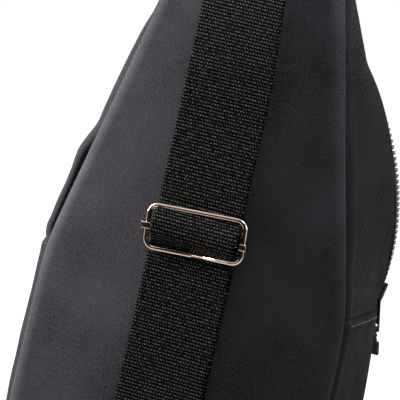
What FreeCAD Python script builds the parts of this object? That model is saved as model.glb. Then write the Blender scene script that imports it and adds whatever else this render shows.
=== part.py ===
"""Sling bag: a teardrop body with a padded back, a webbing strap and an arched zip.

The frame is in millimetres. The base rests on Z = 0 with the origin at its middle, +Z is up,
-Y is the side that lies against the wearer and +Y is the front with the zipped flap.
Soft panels are closed solids with the outer form of the filled bag.
"""
import FreeCAD, Part
import math
import os

from FreeCAD import Placement, Rotation, Vector

doc = FreeCAD.newDocument("sling_bag")
sheet = doc.addObject("Spreadsheet::Sheet", "sizes")

DRIVING_SIZES = {
    # body of the bag
    "bag_height": 290, "base_half": 69, "waist_half": 67, "waist_height": 108, "top_half": 22.5,
    "base_corner": 16, "top_corner": 8, "back_reach": 24, "front_reach": 33.5, "top_front": 14,
    "wall": 2.4, "rim_width": 12, "rim_rise": 2.2,
    # back panel and what is sewn inside it
    "back_bulge": 7, "back_rim": 5, "skin": 1.5, "foam": 4.4, "lining": 0.8, "seam_inset": 1.5,
    "board": 2, "board_inset": 4, "board_corner": 12,
    # sloping front that carries the zip
    "front_lean": 19.4, "bend_height": 103, "zip_height": 135, "band_depth": 5.8, "fold_height": 118,
    "arch_radius": 120, "arch_proud": 0.2, "crown_radius": 56, "zip_end_height": 103.5,
    # zip chain
    "tape": 0.6, "tape_width": 7, "tooth_pitch": 2.6, "tooth_length": 3.2,
    "tooth_width": 1, "tooth_thick": 2.2, "chain_width": 4.6,
    # zip slider and its pull
    "slider_length": 9, "slider_width": 8.6, "plate": 1.1, "plate_gap": 1.6,
    "bridge_rise": 3.2, "bridge_width": 2, "bridge_length": 5, "pull_length": 21, "pull_width": 3.4,
    "pull_thick": 1.2, "grip_length": 6.5, "grip_width": 4, "grip_thick": 2, "link_wire": 0.9,
    # strap and its wire hardware
    "webbing_width": 38, "webbing": 1.2, "layer_gap": 0.3, "wire": 2.2, "buckle_width": 45,
    "buckle_height": 20, "buckle_corner": 5, "buckle_at": 123.6, "bar_wire": 2, "lug_length": 3,
    "lug_wall": 0.9, "running_gap": 0.06, "ring_height": 16, "ring_corner": 3.2, "ring_at": 30, "loop_height": 84,
    "loop_radius": 27, "tab_height": 24, "clearance": 0.3,
}


class Size:
    """A length or angle that knows its value and the spreadsheet expression behind it."""

    def __init__(self, value, text):
        self.value = float(value)
        self.text = text

    def _join(self, other, sign, result):
        text = other.text if isinstance(other, Size) else repr(other)
        return Size(result, f"({self.text} {sign} {text})")

    def __add__(self, other):
        return self._join(other, "+", self.value + float(other))

    def __sub__(self, other):
        return self._join(other, "-", self.value - float(other))

    def __mul__(self, other):
        return self._join(other, "*", self.value * float(other))

    def __truediv__(self, other):
        return self._join(other, "/", self.value / float(other))

    def __neg__(self):
        return Size(-self.value, f"(0 - {self.text})")

    def __float__(self):
        return self.value


class Sizes:
    """The driving sizes, each an aliased cell of the spreadsheet."""


s = Sizes()
for row, (alias, value) in enumerate(DRIVING_SIZES.items(), start=1):
    sheet.set(f"A{row}", alias)
    sheet.set(f"B{row}", str(value))
    sheet.setAlias(f"B{row}", alias)
    setattr(s, alias, Size(value, f"sizes.{alias}"))
doc.recompute()

kept = []


def keep(item, label):
    """Name a finished sub-part and put it on the list of those that are written."""
    item.Label = label
    kept.append(item)
    return item


def solid_feature(label, shape, placement=None):
    """Hold a shape made with Part's functions as one sub-part."""
    feature = doc.addObject("Part::Feature", label)
    feature.Shape = shape
    if placement is not None:
        feature.Placement = placement
    return keep(feature, label)


# ---------------------------------------------------------------- sketches and pads

def origin_plane(body, role):
    return next(item for item in body.Origin.OriginFeatures if item.Role == role)


def closed_sketch(body, name, role, loops, offset=None):
    """Sketch closed loops of straight edges, every corner driven by the spreadsheet."""
    sketch = body.newObject("Sketcher::SketchObject", name)
    sketch.AttachmentSupport = (origin_plane(body, role), [""])
    sketch.MapMode = "FlatFace"
    if offset is not None:
        sketch.setExpression(".AttachmentOffset.Base.z", offset.text)
    import Sketcher
    for corners in loops:
        first = sketch.GeometryCount
        points = [Vector(float(u), float(v), 0) for u, v in corners]
        count = len(points)
        for i in range(count):
            sketch.addGeometry(Part.LineSegment(points[i], points[(i + 1) % count]))
        for i in range(count):
            nxt = first + (i + 1) % count
            sketch.addConstraint(Sketcher.Constraint("Coincident", first + i, 2, nxt, 1))
        for i, (u, v) in enumerate(corners):
            for kind, size in (("DistanceX", u), ("DistanceY", v)):
                number = sketch.addConstraint(
                    Sketcher.Constraint(kind, -1, 1, first + i, 1, float(size)))
                if isinstance(size, Size):
                    sketch.setExpression(f"Constraints[{number}]", size.text)
    return sketch


def pad(body, sketch, length, backwards=False, both_ways=False):
    feature = body.newObject("PartDesign::Pad", "Pad")
    feature.Profile = sketch
    feature.setExpression("Length", length.text)
    feature.Reversed = backwards
    feature.Midplane = both_ways
    doc.recompute()
    return feature


def pocket(body, sketch, depth=None, backwards=False):
    """Cut a sketch into the body and make sure that it removed something."""
    before = body.Tip.Shape.Volume
    feature = body.newObject("PartDesign::Pocket", "Pocket")
    feature.Profile = sketch
    if depth is None:
        feature.Type = 1
        feature.Midplane = True
    else:
        feature.setExpression("Length", depth.text)
    feature.Reversed = backwards
    doc.recompute()
    if feature.Shape.Volume > before - 1:
        raise RuntimeError(f"the pocket in {body.Label} cut nothing")
    return feature


def round_edges(body, radius, wanted):
    """Fillet the edges of the body's last feature that wanted() picks."""
    base = body.Tip
    names = [f"Edge{i + 1}" for i, edge in enumerate(base.Shape.Edges) if wanted(edge)]
    if not names:
        raise RuntimeError(f"no edge to round on {body.Label}")
    feature = body.newObject("PartDesign::Fillet", "Fillet")
    feature.Base = (base, names)
    feature.setExpression("Radius", radius.text)
    doc.recompute()
    return feature


def runs_along_y(edge):
    span = edge.BoundBox
    return span.YLength > 0.1 and span.XLength < 0.01 and span.ZLength < 0.01


def new_body(label):
    body = doc.addObject("PartDesign::Body", label)
    return keep(body, label)


# ---------------------------------------------------------------- form of the bag

lean = math.radians(float(s.front_lean))
slope = math.tan(lean)


def half_width(z):
    """Half width of the back outline at a height: a slight taper, then the long shoulders."""
    if z <= s.waist_height.value:
        share = z / s.waist_height.value
        return s.base_half.value + (s.waist_half.value - s.base_half.value) * share
    share = (z - s.waist_height.value) / (s.bag_height.value - s.waist_height.value)
    return s.waist_half.value + (s.top_half.value - s.waist_half.value) * share


def seam_half(height):
    """The same half width, as a size, anywhere below the waist."""
    return s.base_half - (s.base_half - s.waist_half) * height / s.waist_height


# The zip's plane stands off the front edge of the gusset by the depth of the band of tape.
band_depth = s.band_depth.value
zip_reach = (s.front_reach.value + band_depth / math.cos(lean)
             - slope * (s.zip_height.value - s.bend_height.value))
arch_half = s.waist_half.value + s.arch_proud.value


def zip_plane_y(z, outwards=0.0):
    """How far forward the plane of the zip lies at a height, moved out along its normal."""
    return zip_reach + slope * (s.zip_height.value - z) + outwards / math.cos(lean)


# The zip lies in a plane that leans back. There u runs across and w up the slope, from the
# middle of the two side arcs; a smaller crown arc joins them.
zip_frame = Placement(Vector(0, zip_reach, s.zip_height.value),
                      Rotation(Vector(1, 0, 0), 90 + s.front_lean.value))
side_centre = arch_half - s.arch_radius.value
crown_centre = math.sqrt((s.arch_radius.value - s.crown_radius.value) ** 2 - side_centre ** 2)
crown_angle = math.atan2(crown_centre, -side_centre)

# The slider is parked against the stop at the right foot of the zip.
foot_w = (s.zip_end_height.value - s.zip_height.value) / math.cos(lean)
foot_angle = math.asin(foot_w / s.arch_radius.value)
park_run = s.tooth_width.value + s.clearance.value + s.slider_length.value / 2
slider_angle = foot_angle + park_run / s.arch_radius.value
slider_w = s.arch_radius.value * math.sin(slider_angle)


def slope_height(z):
    """Distance up the zip's plane, from the arcs' centre height to a height on the bag."""
    return (z - s.zip_height.value) / math.cos(lean)


def arch_half_width(w, inset=0.0):
    """Half width of the zip's arch at a distance up the slope."""
    radius = s.arch_radius.value - inset
    crown = s.crown_radius.value - inset
    if w <= radius * math.sin(crown_angle):
        return side_centre + math.sqrt(radius ** 2 - w ** 2)
    rise = w - crown_centre
    return math.sqrt(max(crown ** 2 - rise ** 2, 0.0))


def arch_edges(inset, start_w):
    """Edges of the arch in the zip's plane, from its right foot over the crown to its left."""
    radius = s.arch_radius.value - inset
    crown = s.crown_radius.value - inset
    foot = math.asin(start_w / radius)
    middle = (foot + crown_angle) / 2

    def on_side(angle, hand):
        return Vector(hand * (side_centre + radius * math.cos(angle)), radius * math.sin(angle), 0)

    top = Vector(0, crown_centre + crown, 0)
    right = Part.Arc(on_side(foot, 1), on_side(middle, 1), on_side(crown_angle, 1))
    over = Part.Arc(on_side(crown_angle, 1), top, on_side(crown_angle, -1))
    left = Part.Arc(on_side(crown_angle, -1), on_side(middle, -1), on_side(foot, -1))
    return [arc.toShape() for arc in (right, over, left)]


def arch_plate(outer_inset, inner_inset, start_w, low, high):
    """A strip between two arches, from one distance off the zip's plane to another."""
    outer = arch_edges(outer_inset, start_w)
    inner = arch_edges(inner_inset, start_w)
    feet = [Part.makeLine(inner[0].firstVertex().Point, outer[0].firstVertex().Point),
            Part.makeLine(outer[2].lastVertex().Point, inner[2].lastVertex().Point)]
    wire = Part.Wire(Part.__sortEdges__(outer + inner + feet))
    face = Part.Face(wire)
    face.translate(Vector(0, 0, low))
    return face.extrude(Vector(0, 0, high - low))


def level_loft(sections):
    """A solid through level outlines, each a height and its corners."""
    wires = []
    for z, corners in sections:
        points = [Vector(x, y, z) for x, y in corners]
        wires.append(Part.makePolygon(points + points[:1]))
    return Part.makeLoft(wires, True, True)


# ---------------------------------------------------------------- gussets

def make_gusset_lower():
    """The band round the sides and under the base, up to the side seam."""
    body = new_body("gusset_lower")
    seam = s.bend_height
    outer = seam_half(seam)
    inner = outer - s.wall
    floor_half = s.base_half - s.wall
    corners = [(-outer, seam), (-s.base_half, 0), (s.base_half, 0), (outer, seam),
               (inner, seam), (floor_half, s.wall), (-floor_half, s.wall), (-inner, seam)]
    sketch = closed_sketch(body, "band_outline", "XZ_Plane", [corners], s.back_reach)
    pad(body, sketch, s.back_reach + s.front_reach, backwards=True)

    def low_corner(edge):
        return runs_along_y(edge) and edge.BoundBox.ZMax < 0.01

    def inner_corner(edge):
        return runs_along_y(edge) and abs(edge.BoundBox.ZMax - s.wall.value) < 0.01

    round_edges(body, s.base_corner, low_corner)
    round_edges(body, s.base_corner - s.wall, inner_corner)


def gusset_section(z, inset, overrun):
    """Level outline of the bag between the back seam and the front edge of the gusset."""
    back = half_width(z) - inset
    bend = s.bend_height.value
    if z <= bend:
        front_y = s.front_reach.value
        front = half_width(z)
    else:
        front_y = s.front_reach.value - slope * (z - bend)
        front = max(half_width(z), arch_half_width(slope_height(z), -s.tape.value * 2))
    front_y = max(front_y, -s.top_front.value)
    return z, [(-back, -s.back_reach.value - overrun), (back, -s.back_reach.value - overrun),
               (front - inset, front_y + overrun), (inset - front, front_y + overrun)]


def make_gusset_upper():
    """The band from the side seams up over the top, which flares out to meet the zip."""
    bend = s.bend_height.value
    top = s.bag_height.value
    flat_from = bend + (s.front_reach.value + s.top_front.value) / slope
    crown_foot = s.zip_height.value + math.cos(lean) * s.arch_radius.value * math.sin(crown_angle)
    steps = 6
    heights = [bend + (crown_foot - bend) * i / steps for i in range(steps + 1)]
    heights += [flat_from, top]
    outer = level_loft([gusset_section(z, 0.0, 0.0) for z in heights])
    wall = s.wall.value
    heights = [bend - 1] + heights[1:-1] + [top - wall]
    inner = level_loft([gusset_section(z, wall, wall) for z in heights])
    solid_feature("gusset_upper", outer.cut(inner))


make_gusset_lower()
make_gusset_upper()


# ---------------------------------------------------------------- back panel, foam, lining, board

def back_outline(inset):
    """Six corners of the back, drawn in by the same amount all round."""
    return [(-(s.base_half - inset), inset), (s.base_half - inset, inset),
            (s.waist_half - inset, s.waist_height), (s.top_half - inset, s.bag_height - inset),
            (-(s.top_half - inset), s.bag_height - inset),
            (-(s.waist_half - inset), s.waist_height)]


def back_layer(label, inset, start, thickness):
    """A flat layer of the back, starting at a distance behind the origin and going forward."""
    body = new_body(label)
    sketch = closed_sketch(body, "outline", "XZ_Plane", [back_outline(inset)], start)
    pad(body, sketch, thickness, backwards=True)
    corner = s.base_corner - inset
    round_edges(body, corner,
                lambda edge: runs_along_y(edge) and edge.BoundBox.ZMax < inset.value + 0.01)
    return body


def make_back():
    start = s.back_reach + s.back_bulge
    panel = back_layer("back_panel", s.seam_inset, start, s.back_bulge)
    outside = -start.value

    def outer_rim(edge):
        return abs(edge.BoundBox.YMin - outside) < 0.01 and edge.BoundBox.YLength < 0.01

    round_edges(panel, s.back_rim, outer_rim)
    inset = s.seam_inset + s.skin + s.back_rim / 2
    hollow = closed_sketch(panel, "foam_room", "XZ_Plane", [back_outline(inset)], s.back_reach)
    pocket(panel, hollow, s.back_bulge - s.skin, backwards=True)
    back_layer("back_foam", inset + s.layer_gap, start - s.skin, s.foam)
    back_layer("back_lining", inset + s.layer_gap, start - s.skin - s.foam, s.lining)


def make_base_board():
    """Stiffener that keeps the base flat, loose on the bottom of the band."""
    body = new_body("base_board")
    half = s.base_half - s.base_corner - s.clearance
    back = s.back_reach - s.board_inset
    front = s.front_reach - s.board_inset
    corners = [(-half, -back), (half, -back), (half, front), (-half, front)]
    sketch = closed_sketch(body, "outline", "XY_Plane", [corners], s.wall)
    pad(body, sketch, s.board)
    round_edges(body, s.board_corner, lambda edge: edge.BoundBox.ZLength > 1)


make_back()
make_base_board()


# ---------------------------------------------------------------- front panels and flap

def front_section(z, inset, depth_inset):
    """Level outline of the lower front: straight sides, a chamfered rim and a flat face."""
    side = half_width(z) - inset
    gusset_front = min(s.front_reach.value, s.front_reach.value - slope * (z - s.bend_height.value))
    face = min(zip_plane_y(s.bend_height.value, s.rim_rise.value),
               zip_plane_y(z, s.rim_rise.value)) - depth_inset
    rim = s.rim_width.value
    back = gusset_front if depth_inset == 0 else gusset_front - 1
    shoulder = gusset_front + 1.5
    return z, [(-side, back), (side, back), (side, shoulder), (side - rim, face),
               (rim - side, face), (-side, shoulder)]


def make_front_lower():
    """The front below the flap's fold: a shallow tray with a bend where the slope begins."""
    wall = s.wall.value
    base_rise = s.base_corner.value / 3
    fold = s.fold_height.value
    bend = s.bend_height.value
    heights = [base_rise, bend, fold]
    outer = level_loft([front_section(z, 0.0, 0.0) for z in heights])
    heights = [base_rise + wall, bend, fold + 1]
    inner = level_loft([front_section(z, wall, wall) for z in heights])
    tray = outer.cut(inner)
    for hand in (1, -1):
        tray = tray.cut(zip_end_room(hand))
    corner = s.base_corner.value
    outline = rounded_prism(corner)
    solid_feature("front_lower_panel", tray.common(outline))


def rounded_prism(corner):
    """The back outline as a prism through the whole depth, with its base corners rounded."""
    points = [Vector(float(x), 0, float(z)) for x, z in back_outline(s.clearance * 0)]
    face = Part.Face(Part.makePolygon(points + points[:1]))
    depth = 300
    block = face.extrude(Vector(0, depth, 0))
    block.translate(Vector(0, -depth / 2, 0))
    low = [edge for edge in block.Edges if runs_along_y(edge) and edge.BoundBox.ZMax < 0.01]
    return block.makeFillet(corner, low)


def zip_end_room(hand):
    """Room at one end of the zip for the chain, the slider and its pull's bridge."""
    low = foot_w - 1
    high = slope_height(s.fold_height.value) + 12
    inner = arch_half_width(slider_w) - s.slider_width.value
    room = Part.makeBox(30, high - low, 40)
    room.translate(Vector(inner, low, band_depth + 0.5 - 40))
    if hand < 0:
        room = room.mirror(Vector(0, 0, 0), Vector(1, 0, 0))
    room.transformShape(zip_frame.toMatrix())
    return room


def make_front_upper():
    """The front above the zip's crown, from one side seam to the other and up to the top."""
    wall = s.wall.value
    flat_from = s.bend_height.value + (s.front_reach.value + s.top_front.value) / slope
    low = s.zip_height.value
    front = -s.top_front.value
    lean_y = s.front_reach.value - slope * (low - s.bend_height.value)
    profile = [Vector(0, lean_y, low), Vector(0, front, flat_from),
               Vector(0, front, s.bag_height.value), Vector(0, front + wall, s.bag_height.value),
               Vector(0, front + wall, flat_from + wall / 2), Vector(0, lean_y + wall * 1.06, low)]
    face = Part.Face(Part.makePolygon(profile + profile[:1]))
    reach = 200
    band = face.extrude(Vector(reach, 0, 0))
    band.translate(Vector(-reach / 2, 0, 0))
    sheet_shape = band.common(rounded_prism(s.base_corner.value))
    solid_feature("front_upper_panel", sheet_shape.cut(arch_block(-s.tape.value - 0.05, -60)))


def arch_block(inset, start_w):
    """The whole arch as a block through the front, in the bag's frame."""
    edges = arch_edges(inset, start_w)
    foot = Part.makeLine(edges[2].lastVertex().Point, edges[0].firstVertex().Point)
    face = Part.Face(Part.Wire(Part.__sortEdges__(edges + [foot])))
    depth = 60
    block = face.extrude(Vector(0, 0, depth))
    block.translate(Vector(0, 0, -depth / 2))
    block.transformShape(zip_frame.toMatrix())
    return block


make_front_lower()
make_front_upper()

def make_flap():
    """The domed panel inside the zip's arch, hinged by its fold along the front."""
    inset = s.chain_width.value + s.clearance.value * 8
    rise = s.rim_rise.value
    wall = s.wall.value
    start = slope_height(s.fold_height.value) - 4

    def arch_slab(slab_inset, low, high):
        edges = arch_edges(slab_inset, start)
        foot = Part.makeLine(edges[2].lastVertex().Point, edges[0].firstVertex().Point)
        face = Part.Face(Part.Wire(Part.__sortEdges__(edges + [foot])))
        face.translate(Vector(0, 0, -high))
        return face.extrude(Vector(0, 0, high - low))

    dome = arch_slab(inset, 0, rise)
    rim = [edge for edge in dome.Edges
           if abs(edge.BoundBox.ZMin + rise) < 0.01 and edge.BoundBox.ZLength < 0.01
           and edge.BoundBox.YLength > 1]
    dome = dome.makeChamfer(rise * 0.7, rim)
    hollow = arch_slab(inset + s.rim_width.value / 2, -1, rise - wall + 0.2)
    shell = dome.cut(hollow)
    shell.transformShape(zip_frame.toMatrix())
    above = Part.makeBox(300, 300, 300)
    above.translate(Vector(-150, -150, s.fold_height.value + s.clearance.value))
    solid_feature("flap_panel", shell.common(above))


make_flap()


# ---------------------------------------------------------------- zip chain and slider

def placed_in_zip(shape):
    shape.transformShape(zip_frame.toMatrix())
    return shape


def split_at_fold(shape):
    """The parts of a solid that lie above and below the flap's fold."""
    fold = s.fold_height.value
    gap = s.clearance.value
    above = Part.makeBox(300, 300, 300)
    above.translate(Vector(-150, -150, fold + gap))
    below = Part.makeBox(300, 300, 300)
    below.translate(Vector(-150, -150, fold - 300))
    return shape.common(above), shape.common(below)


def make_tapes():
    tape = s.tape.value
    band = arch_plate(-tape, 0, foot_w, s.clearance.value, band_depth)
    solid_feature("zip_tape_outer", placed_in_zip(band))
    inset = s.chain_width.value
    under = s.clearance.value
    strip = placed_in_zip(arch_plate(inset, inset + s.tape_width.value, foot_w, under, under + tape))
    moving, still = split_at_fold(strip)
    lower_front = next(item for item in kept if item.Label == "front_lower_panel")
    solid_feature("zip_tape_inner", moving)
    solid_feature("zip_tape_ends", still.cut(lower_front.Shape))


def chain_stations(start, pitch):
    """Points along the arch's edge and its outward directions, from the right foot up and over."""
    radius = s.arch_radius.value
    crown = s.crown_radius.value
    side_run = radius * (crown_angle - foot_angle)
    crown_run = crown * (math.pi - 2 * crown_angle)
    total = 2 * side_run + crown_run
    count = int((total - start) // pitch)
    for i in range(count):
        run = start + pitch * i
        if run <= side_run:
            centre, angle, reach = (side_centre, 0), foot_angle + run / radius, radius
        elif run <= side_run + crown_run:
            centre, angle, reach = (0, crown_centre), crown_angle + (run - side_run) / crown, crown
        else:
            left = (run - side_run - crown_run) / radius
            centre, angle, reach = (-side_centre, 0), math.pi - crown_angle + left, radius
        yield centre, angle, reach


def make_teeth():
    """Interlocking rows of moulded teeth, one row on each tape."""
    pitch = s.tooth_pitch.value
    long, wide, thick = s.tooth_length.value, s.tooth_width.value, s.tooth_thick.value
    chain = s.chain_width.value
    first = park_run + s.slider_length.value / 2 - s.tooth_width.value

    def tooth(station, inset):
        centre, angle, reach = station
        block = Part.makeBox(long, wide, thick)
        block.translate(Vector(reach - inset - long, -wide / 2, -thick / 2))
        block.rotate(Vector(0, 0, 0), Vector(0, 0, 1), math.degrees(angle))
        block.translate(Vector(centre[0], centre[1], 0))
        return placed_in_zip(block)

    outer = [tooth(station, 0) for station in chain_stations(first, pitch)]
    solid_feature("zip_teeth_outer", Part.makeCompound(outer[:-2]))
    inner = [tooth(station, chain - long) for station in chain_stations(first + pitch / 2, pitch)]
    fold = s.fold_height.value
    moving = [block for block in inner if block.BoundBox.ZMin > fold + s.clearance.value]
    still = [block for block in inner if block.BoundBox.ZMax < fold]
    solid_feature("zip_teeth_inner", Part.makeCompound(moving))
    solid_feature("zip_teeth_ends", Part.makeCompound(still[:-2]))


def side_block(hand, angle, radial, along, depth):
    """A block set square to the chain on one side of the arch."""
    low, high = radial
    block = Part.makeBox(high - low, along[1] - along[0], depth[1] - depth[0])
    block.translate(Vector(low, along[0], depth[0]))
    block.rotate(Vector(0, 0, 0), Vector(0, 0, 1), math.degrees(angle))
    block.translate(Vector(side_centre, 0, 0))
    if hand < 0:
        block = block.mirror(Vector(0, 0, 0), Vector(1, 0, 0))
    return placed_in_zip(block)


def make_stops():
    """A moulded stop across the chain at each end."""
    radius = s.arch_radius.value
    half = s.tooth_thick.value / 2
    stops = [side_block(hand, foot_angle, (radius - s.chain_width.value, radius),
                        (0, s.tooth_width.value), (-half, half)) for hand in (1, -1)]
    solid_feature("zip_stops", Part.makeCompound(stops))


def make_slider():
    """Two plates joined by a post between the rows, with a bridge that carries the pull."""
    radius = s.arch_radius.value
    half = s.slider_length.value / 2
    inner = radius - s.chain_width.value / 2 - s.slider_width.value / 2
    outer = inner + s.slider_width.value
    gap = s.plate_gap.value
    plate = s.plate.value
    middle = radius - s.chain_width.value / 2

    def block(radial, along, depth):
        return side_block(1, slider_angle, radial, along, depth)

    top = block((inner, outer), (-half, half), (-gap - plate, -gap))
    under = block((inner, radius - 0.4), (-half, half), (gap, gap + plate))
    post = block((middle - 0.9, middle + 0.9), (-half, -half + 2), (-gap - 0.1, gap + 0.1))
    rise = s.bridge_rise.value
    bar = s.bridge_width.value / 2
    reach = s.bridge_length.value / 2
    arm = 1.0
    top_depth = -gap - plate
    feet = [block((middle - bar, middle + bar), along, (top_depth - rise + arm, top_depth + 0.1))
            for along in ((-reach, arm - reach), (reach - arm, reach))]
    beam = block((middle - bar, middle + bar), (-reach, reach),
                 (top_depth - rise, top_depth - rise + arm))
    slider = top.fuse([under, post, beam] + feet).removeSplitter()
    solid_feature("zip_slider", slider)


make_tapes()
make_teeth()
make_stops()
make_slider()


def zip_point(radial, along, depth):
    """A point beside the slider's place, in the bag's frame."""
    point = Vector(radial, along, depth)
    point = Rotation(Vector(0, 0, 1), math.degrees(slider_angle)).multVec(point)
    return zip_frame.multVec(point + Vector(side_centre, 0, 0))


def make_pull():
    """The metal pull hangs through the bridge and carries a knotted cord with a grip."""
    arm = 1.0
    opening = s.bridge_rise.value - arm
    depth = -s.plate_gap.value - s.plate.value - opening / 2
    pivot = zip_point(s.arch_radius.value - s.chain_width.value / 2, 0, depth)
    thick = s.pull_thick.value
    strip = s.pull_width.value / 2
    reach = s.bridge_length.value / 2
    skew = reach * abs(math.sin(slider_angle))
    head_window = s.bridge_width.value / 2 + skew + s.clearance.value
    head = head_window + 0.75
    bar = 0.5
    window_low = -math.hypot(reach, s.bridge_rise.value - opening / 2) - 2 * s.clearance.value
    neck = window_low - 0.8
    foot = -s.pull_length.value

    def hang(shape):
        shape.rotate(Vector(0, 0, 0), Vector(1, 0, 0), 90 + s.front_lean.value)
        shape.translate(pivot)
        return shape

    outline = [(-head, bar), (head, bar), (head, neck), (strip, neck - 2), (strip, foot - bar),
               (-strip, foot - bar), (-strip, neck - 2), (-head, neck)]
    corners = [Vector(u, w, -thick / 2) for u, w in outline]
    plate = Part.Face(Part.makePolygon(corners + corners[:1])).extrude(Vector(0, 0, thick))
    link = s.link_wire.value
    foot_window = link / 2 + s.clearance.value
    for half, top, bottom in ((head_window, -bar, window_low), (foot_window, foot + 3.2, foot + bar)):
        window = Part.makeBox(2 * half, top - bottom, 3 * thick)
        window.translate(Vector(-half, bottom, -1.5 * thick))
        plate = plate.cut(window)
    solid_feature("pull_plate", hang(plate))

    loop = math.hypot(thick / 2, bar) + s.clearance.value + link / 2
    section = [Vector(link / 2 * math.cos(turn), loop + link / 2 * math.sin(turn), 0)
               for turn in (math.pi / 4 * i for i in range(8))]
    ring = Part.Face(Part.makePolygon(section + section[:1]))
    ring = ring.revolve(Vector(0, 0, 0), Vector(1, 0, 0), 360)
    ring.translate(Vector(0, foot, 0))
    knot = 1.1
    first = foot - loop - knot * 0.8
    knots = []
    for i in range(2):
        middle = first - knot * 1.9 * i
        for side in (1, -1):
            knots.append(Part.makeCone(knot, knot * 0.45, knot, Vector(0, middle, 0),
                                       Vector(0, side, 0)))
    top = first - knot * 2.6
    wide, flat = s.grip_width.value, s.grip_thick.value
    tab = Part.makeBox(wide, s.grip_length.value, flat)
    tab.translate(Vector(-wide / 2, top - s.grip_length.value, -flat / 2))
    tab = tab.makeChamfer(0.5, tab.Edges)
    solid_feature("pull_grip", hang(ring.fuse(knots + [tab])))
    foot_point = hang(Part.Vertex(0, foot, 0)).Point
    print("pull pivot", tuple(pivot), "grip pivot", tuple(foot_point))


make_pull()


# ---------------------------------------------------------------- strap

def ribbon(path, radii, thick, width):
    """A flat strap: a path of straights and round bends in the YZ plane, given a width in X."""
    half = thick / 2
    points = [Vector(0, y, z) for y, z in path]
    sides = {1: [], -1: []}
    starts = {}
    for sign in sides:
        edges = []
        previous = None
        for i in range(len(points)):
            if i in (0, len(points) - 1):
                ahead = points[1] - points[0] if i == 0 else points[-1] - points[-2]
                ahead.normalize()
                here = points[i] + Vector(0, -ahead.z, ahead.y) * half * sign
                if previous is not None:
                    edges.append(Part.makeLine(previous, here))
                previous = here
                continue
            before = (points[i] - points[i - 1]).normalize()
            after = (points[i + 1] - points[i]).normalize()
            turn = before.y * after.z - before.z * after.y
            angle = before.getAngle(after)
            radius = radii[i - 1]
            tangent = radius * math.tan(angle / 2)
            hand = 1 if turn > 0 else -1
            begin = points[i] - before * tangent
            centre = begin + Vector(0, -before.z, before.y) * radius * hand
            reach = radius - half * sign * hand
            spokes = [begin - centre, points[i] - centre, points[i] + after * tangent - centre]
            ends = [centre + spoke.normalize() * reach for spoke in spokes]
            if (ends[0] - previous).Length > 1e-6:
                edges.append(Part.makeLine(previous, ends[0]))
            edges.append(Part.Arc(*ends).toShape())
            previous = ends[2]
        sides[sign] = edges
        starts[sign] = (edges[0].firstVertex().Point, previous)
    caps = [Part.makeLine(starts[1][k], starts[-1][k]) for k in (0, 1)]
    wire = Part.Wire(Part.__sortEdges__(sides[1] + sides[-1] + caps))
    solid = Part.Face(wire).extrude(Vector(width, 0, 0))
    solid.translate(Vector(-width / 2, 0, 0))
    return solid


layer = s.webbing.value
gap = s.layer_gap.value
wire_half = s.wire.value / 2
back_face = -(s.back_reach.value + s.back_bulge.value)
ring_y = back_face - wire_half - layer - gap * 4
return_y = ring_y + layer / 2 + gap
run_y = ring_y - layer / 2 - gap
buckle_y = run_y - layer / 2 - gap - wire_half


def make_strap():
    """The webbing: up over the shoulder, down the back, through the buckle and round the ring."""
    width = s.webbing_width.value
    at = s.buckle_at.value
    bar = s.bar_wire.value / 2
    hook = bar + gap + layer / 2
    over = hook + layer + gap
    bend = s.buckle_height.value / 2 - s.wire.value * 0.95
    ring_top = s.ring_at.value + s.ring_height.value / 2 - wire_half
    loop = wire_half + gap + layer / 2
    join = s.bag_height.value - 40

    crest = buckle_y - over
    run = [(run_y, join), (run_y, at + bend), (crest, at + 1.7), (crest, at - 1.7),
           (run_y, at - bend), (run_y, ring_top + 12), (ring_y - loop, ring_top + 5),
           (ring_y - loop, ring_top - loop), (ring_y + loop, ring_top - loop),
           (ring_y + loop, ring_top + 1)]
    solid_feature("strap_run", ribbon(run, [2, 2, 2, 2, 6, 6, loop, loop], layer, width))

    slope_y, slope_z = run_y - crest, bend - 1.7
    length = math.hypot(slope_y, slope_z)
    shift = (layer + gap) * length / slope_z
    inner_out = buckle_y - hook
    foot_z = at - bend + (return_y - run_y - shift) * -slope_z / slope_y
    head_z = at - bend + (inner_out - run_y - shift) * -slope_z / slope_y
    back = [(ring_y + loop, ring_top + 1), (ring_y + loop, ring_top + 5),
            (return_y, ring_top + 12), (return_y, foot_z), (inner_out, head_z),
            (inner_out, at + hook), (buckle_y + hook, at + hook), (buckle_y + hook, at - 0.4)]
    solid_feature("strap_return", ribbon(back, [6, 6, 1.5, 1.5, hook, hook], layer, width))

    top = s.bag_height.value
    high = top + s.loop_height.value
    swing = s.loop_radius.value
    middle = run_y + 6
    seat = -(s.back_reach.value + s.top_front.value) / 2
    upper = [(run_y, join), (run_y, join + 16), (middle - swing, high - swing * 1.4),
             (middle - swing, high), (middle + swing, high), (middle + swing, high - swing * 1.4),
             (seat, top + 14), (seat, top + layer)]
    radii = [30, 20, swing - 1, swing - 1, 20, 10]
    solid_feature("strap_upper", ribbon(upper, radii, layer, width))

    patch = Part.makeBox(width + 4, s.back_reach.value - s.top_front.value - 1, layer)
    patch.translate(Vector(-width / 2 - 2, -s.back_reach.value + 0.5, top))
    solid_feature("top_anchor_patch", patch)

    ring_low = s.ring_at.value - s.ring_height.value / 2 + wire_half
    inner = back_face - layer / 2
    outer = inner - layer - gap
    foot = s.back_rim.value + s.seam_inset.value + 1.5
    tab = [(inner, foot), (inner, ring_low - 6), (ring_y + loop, ring_low - 2.5),
           (ring_y + loop, ring_low + loop), (ring_y - loop, ring_low + loop),
           (ring_y - loop, ring_low - 2.5), (outer, ring_low - 6), (outer, foot)]
    solid_feature("anchor_tab", ribbon(tab, [4, 4, loop, loop, 2, 2], layer, width))


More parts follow.
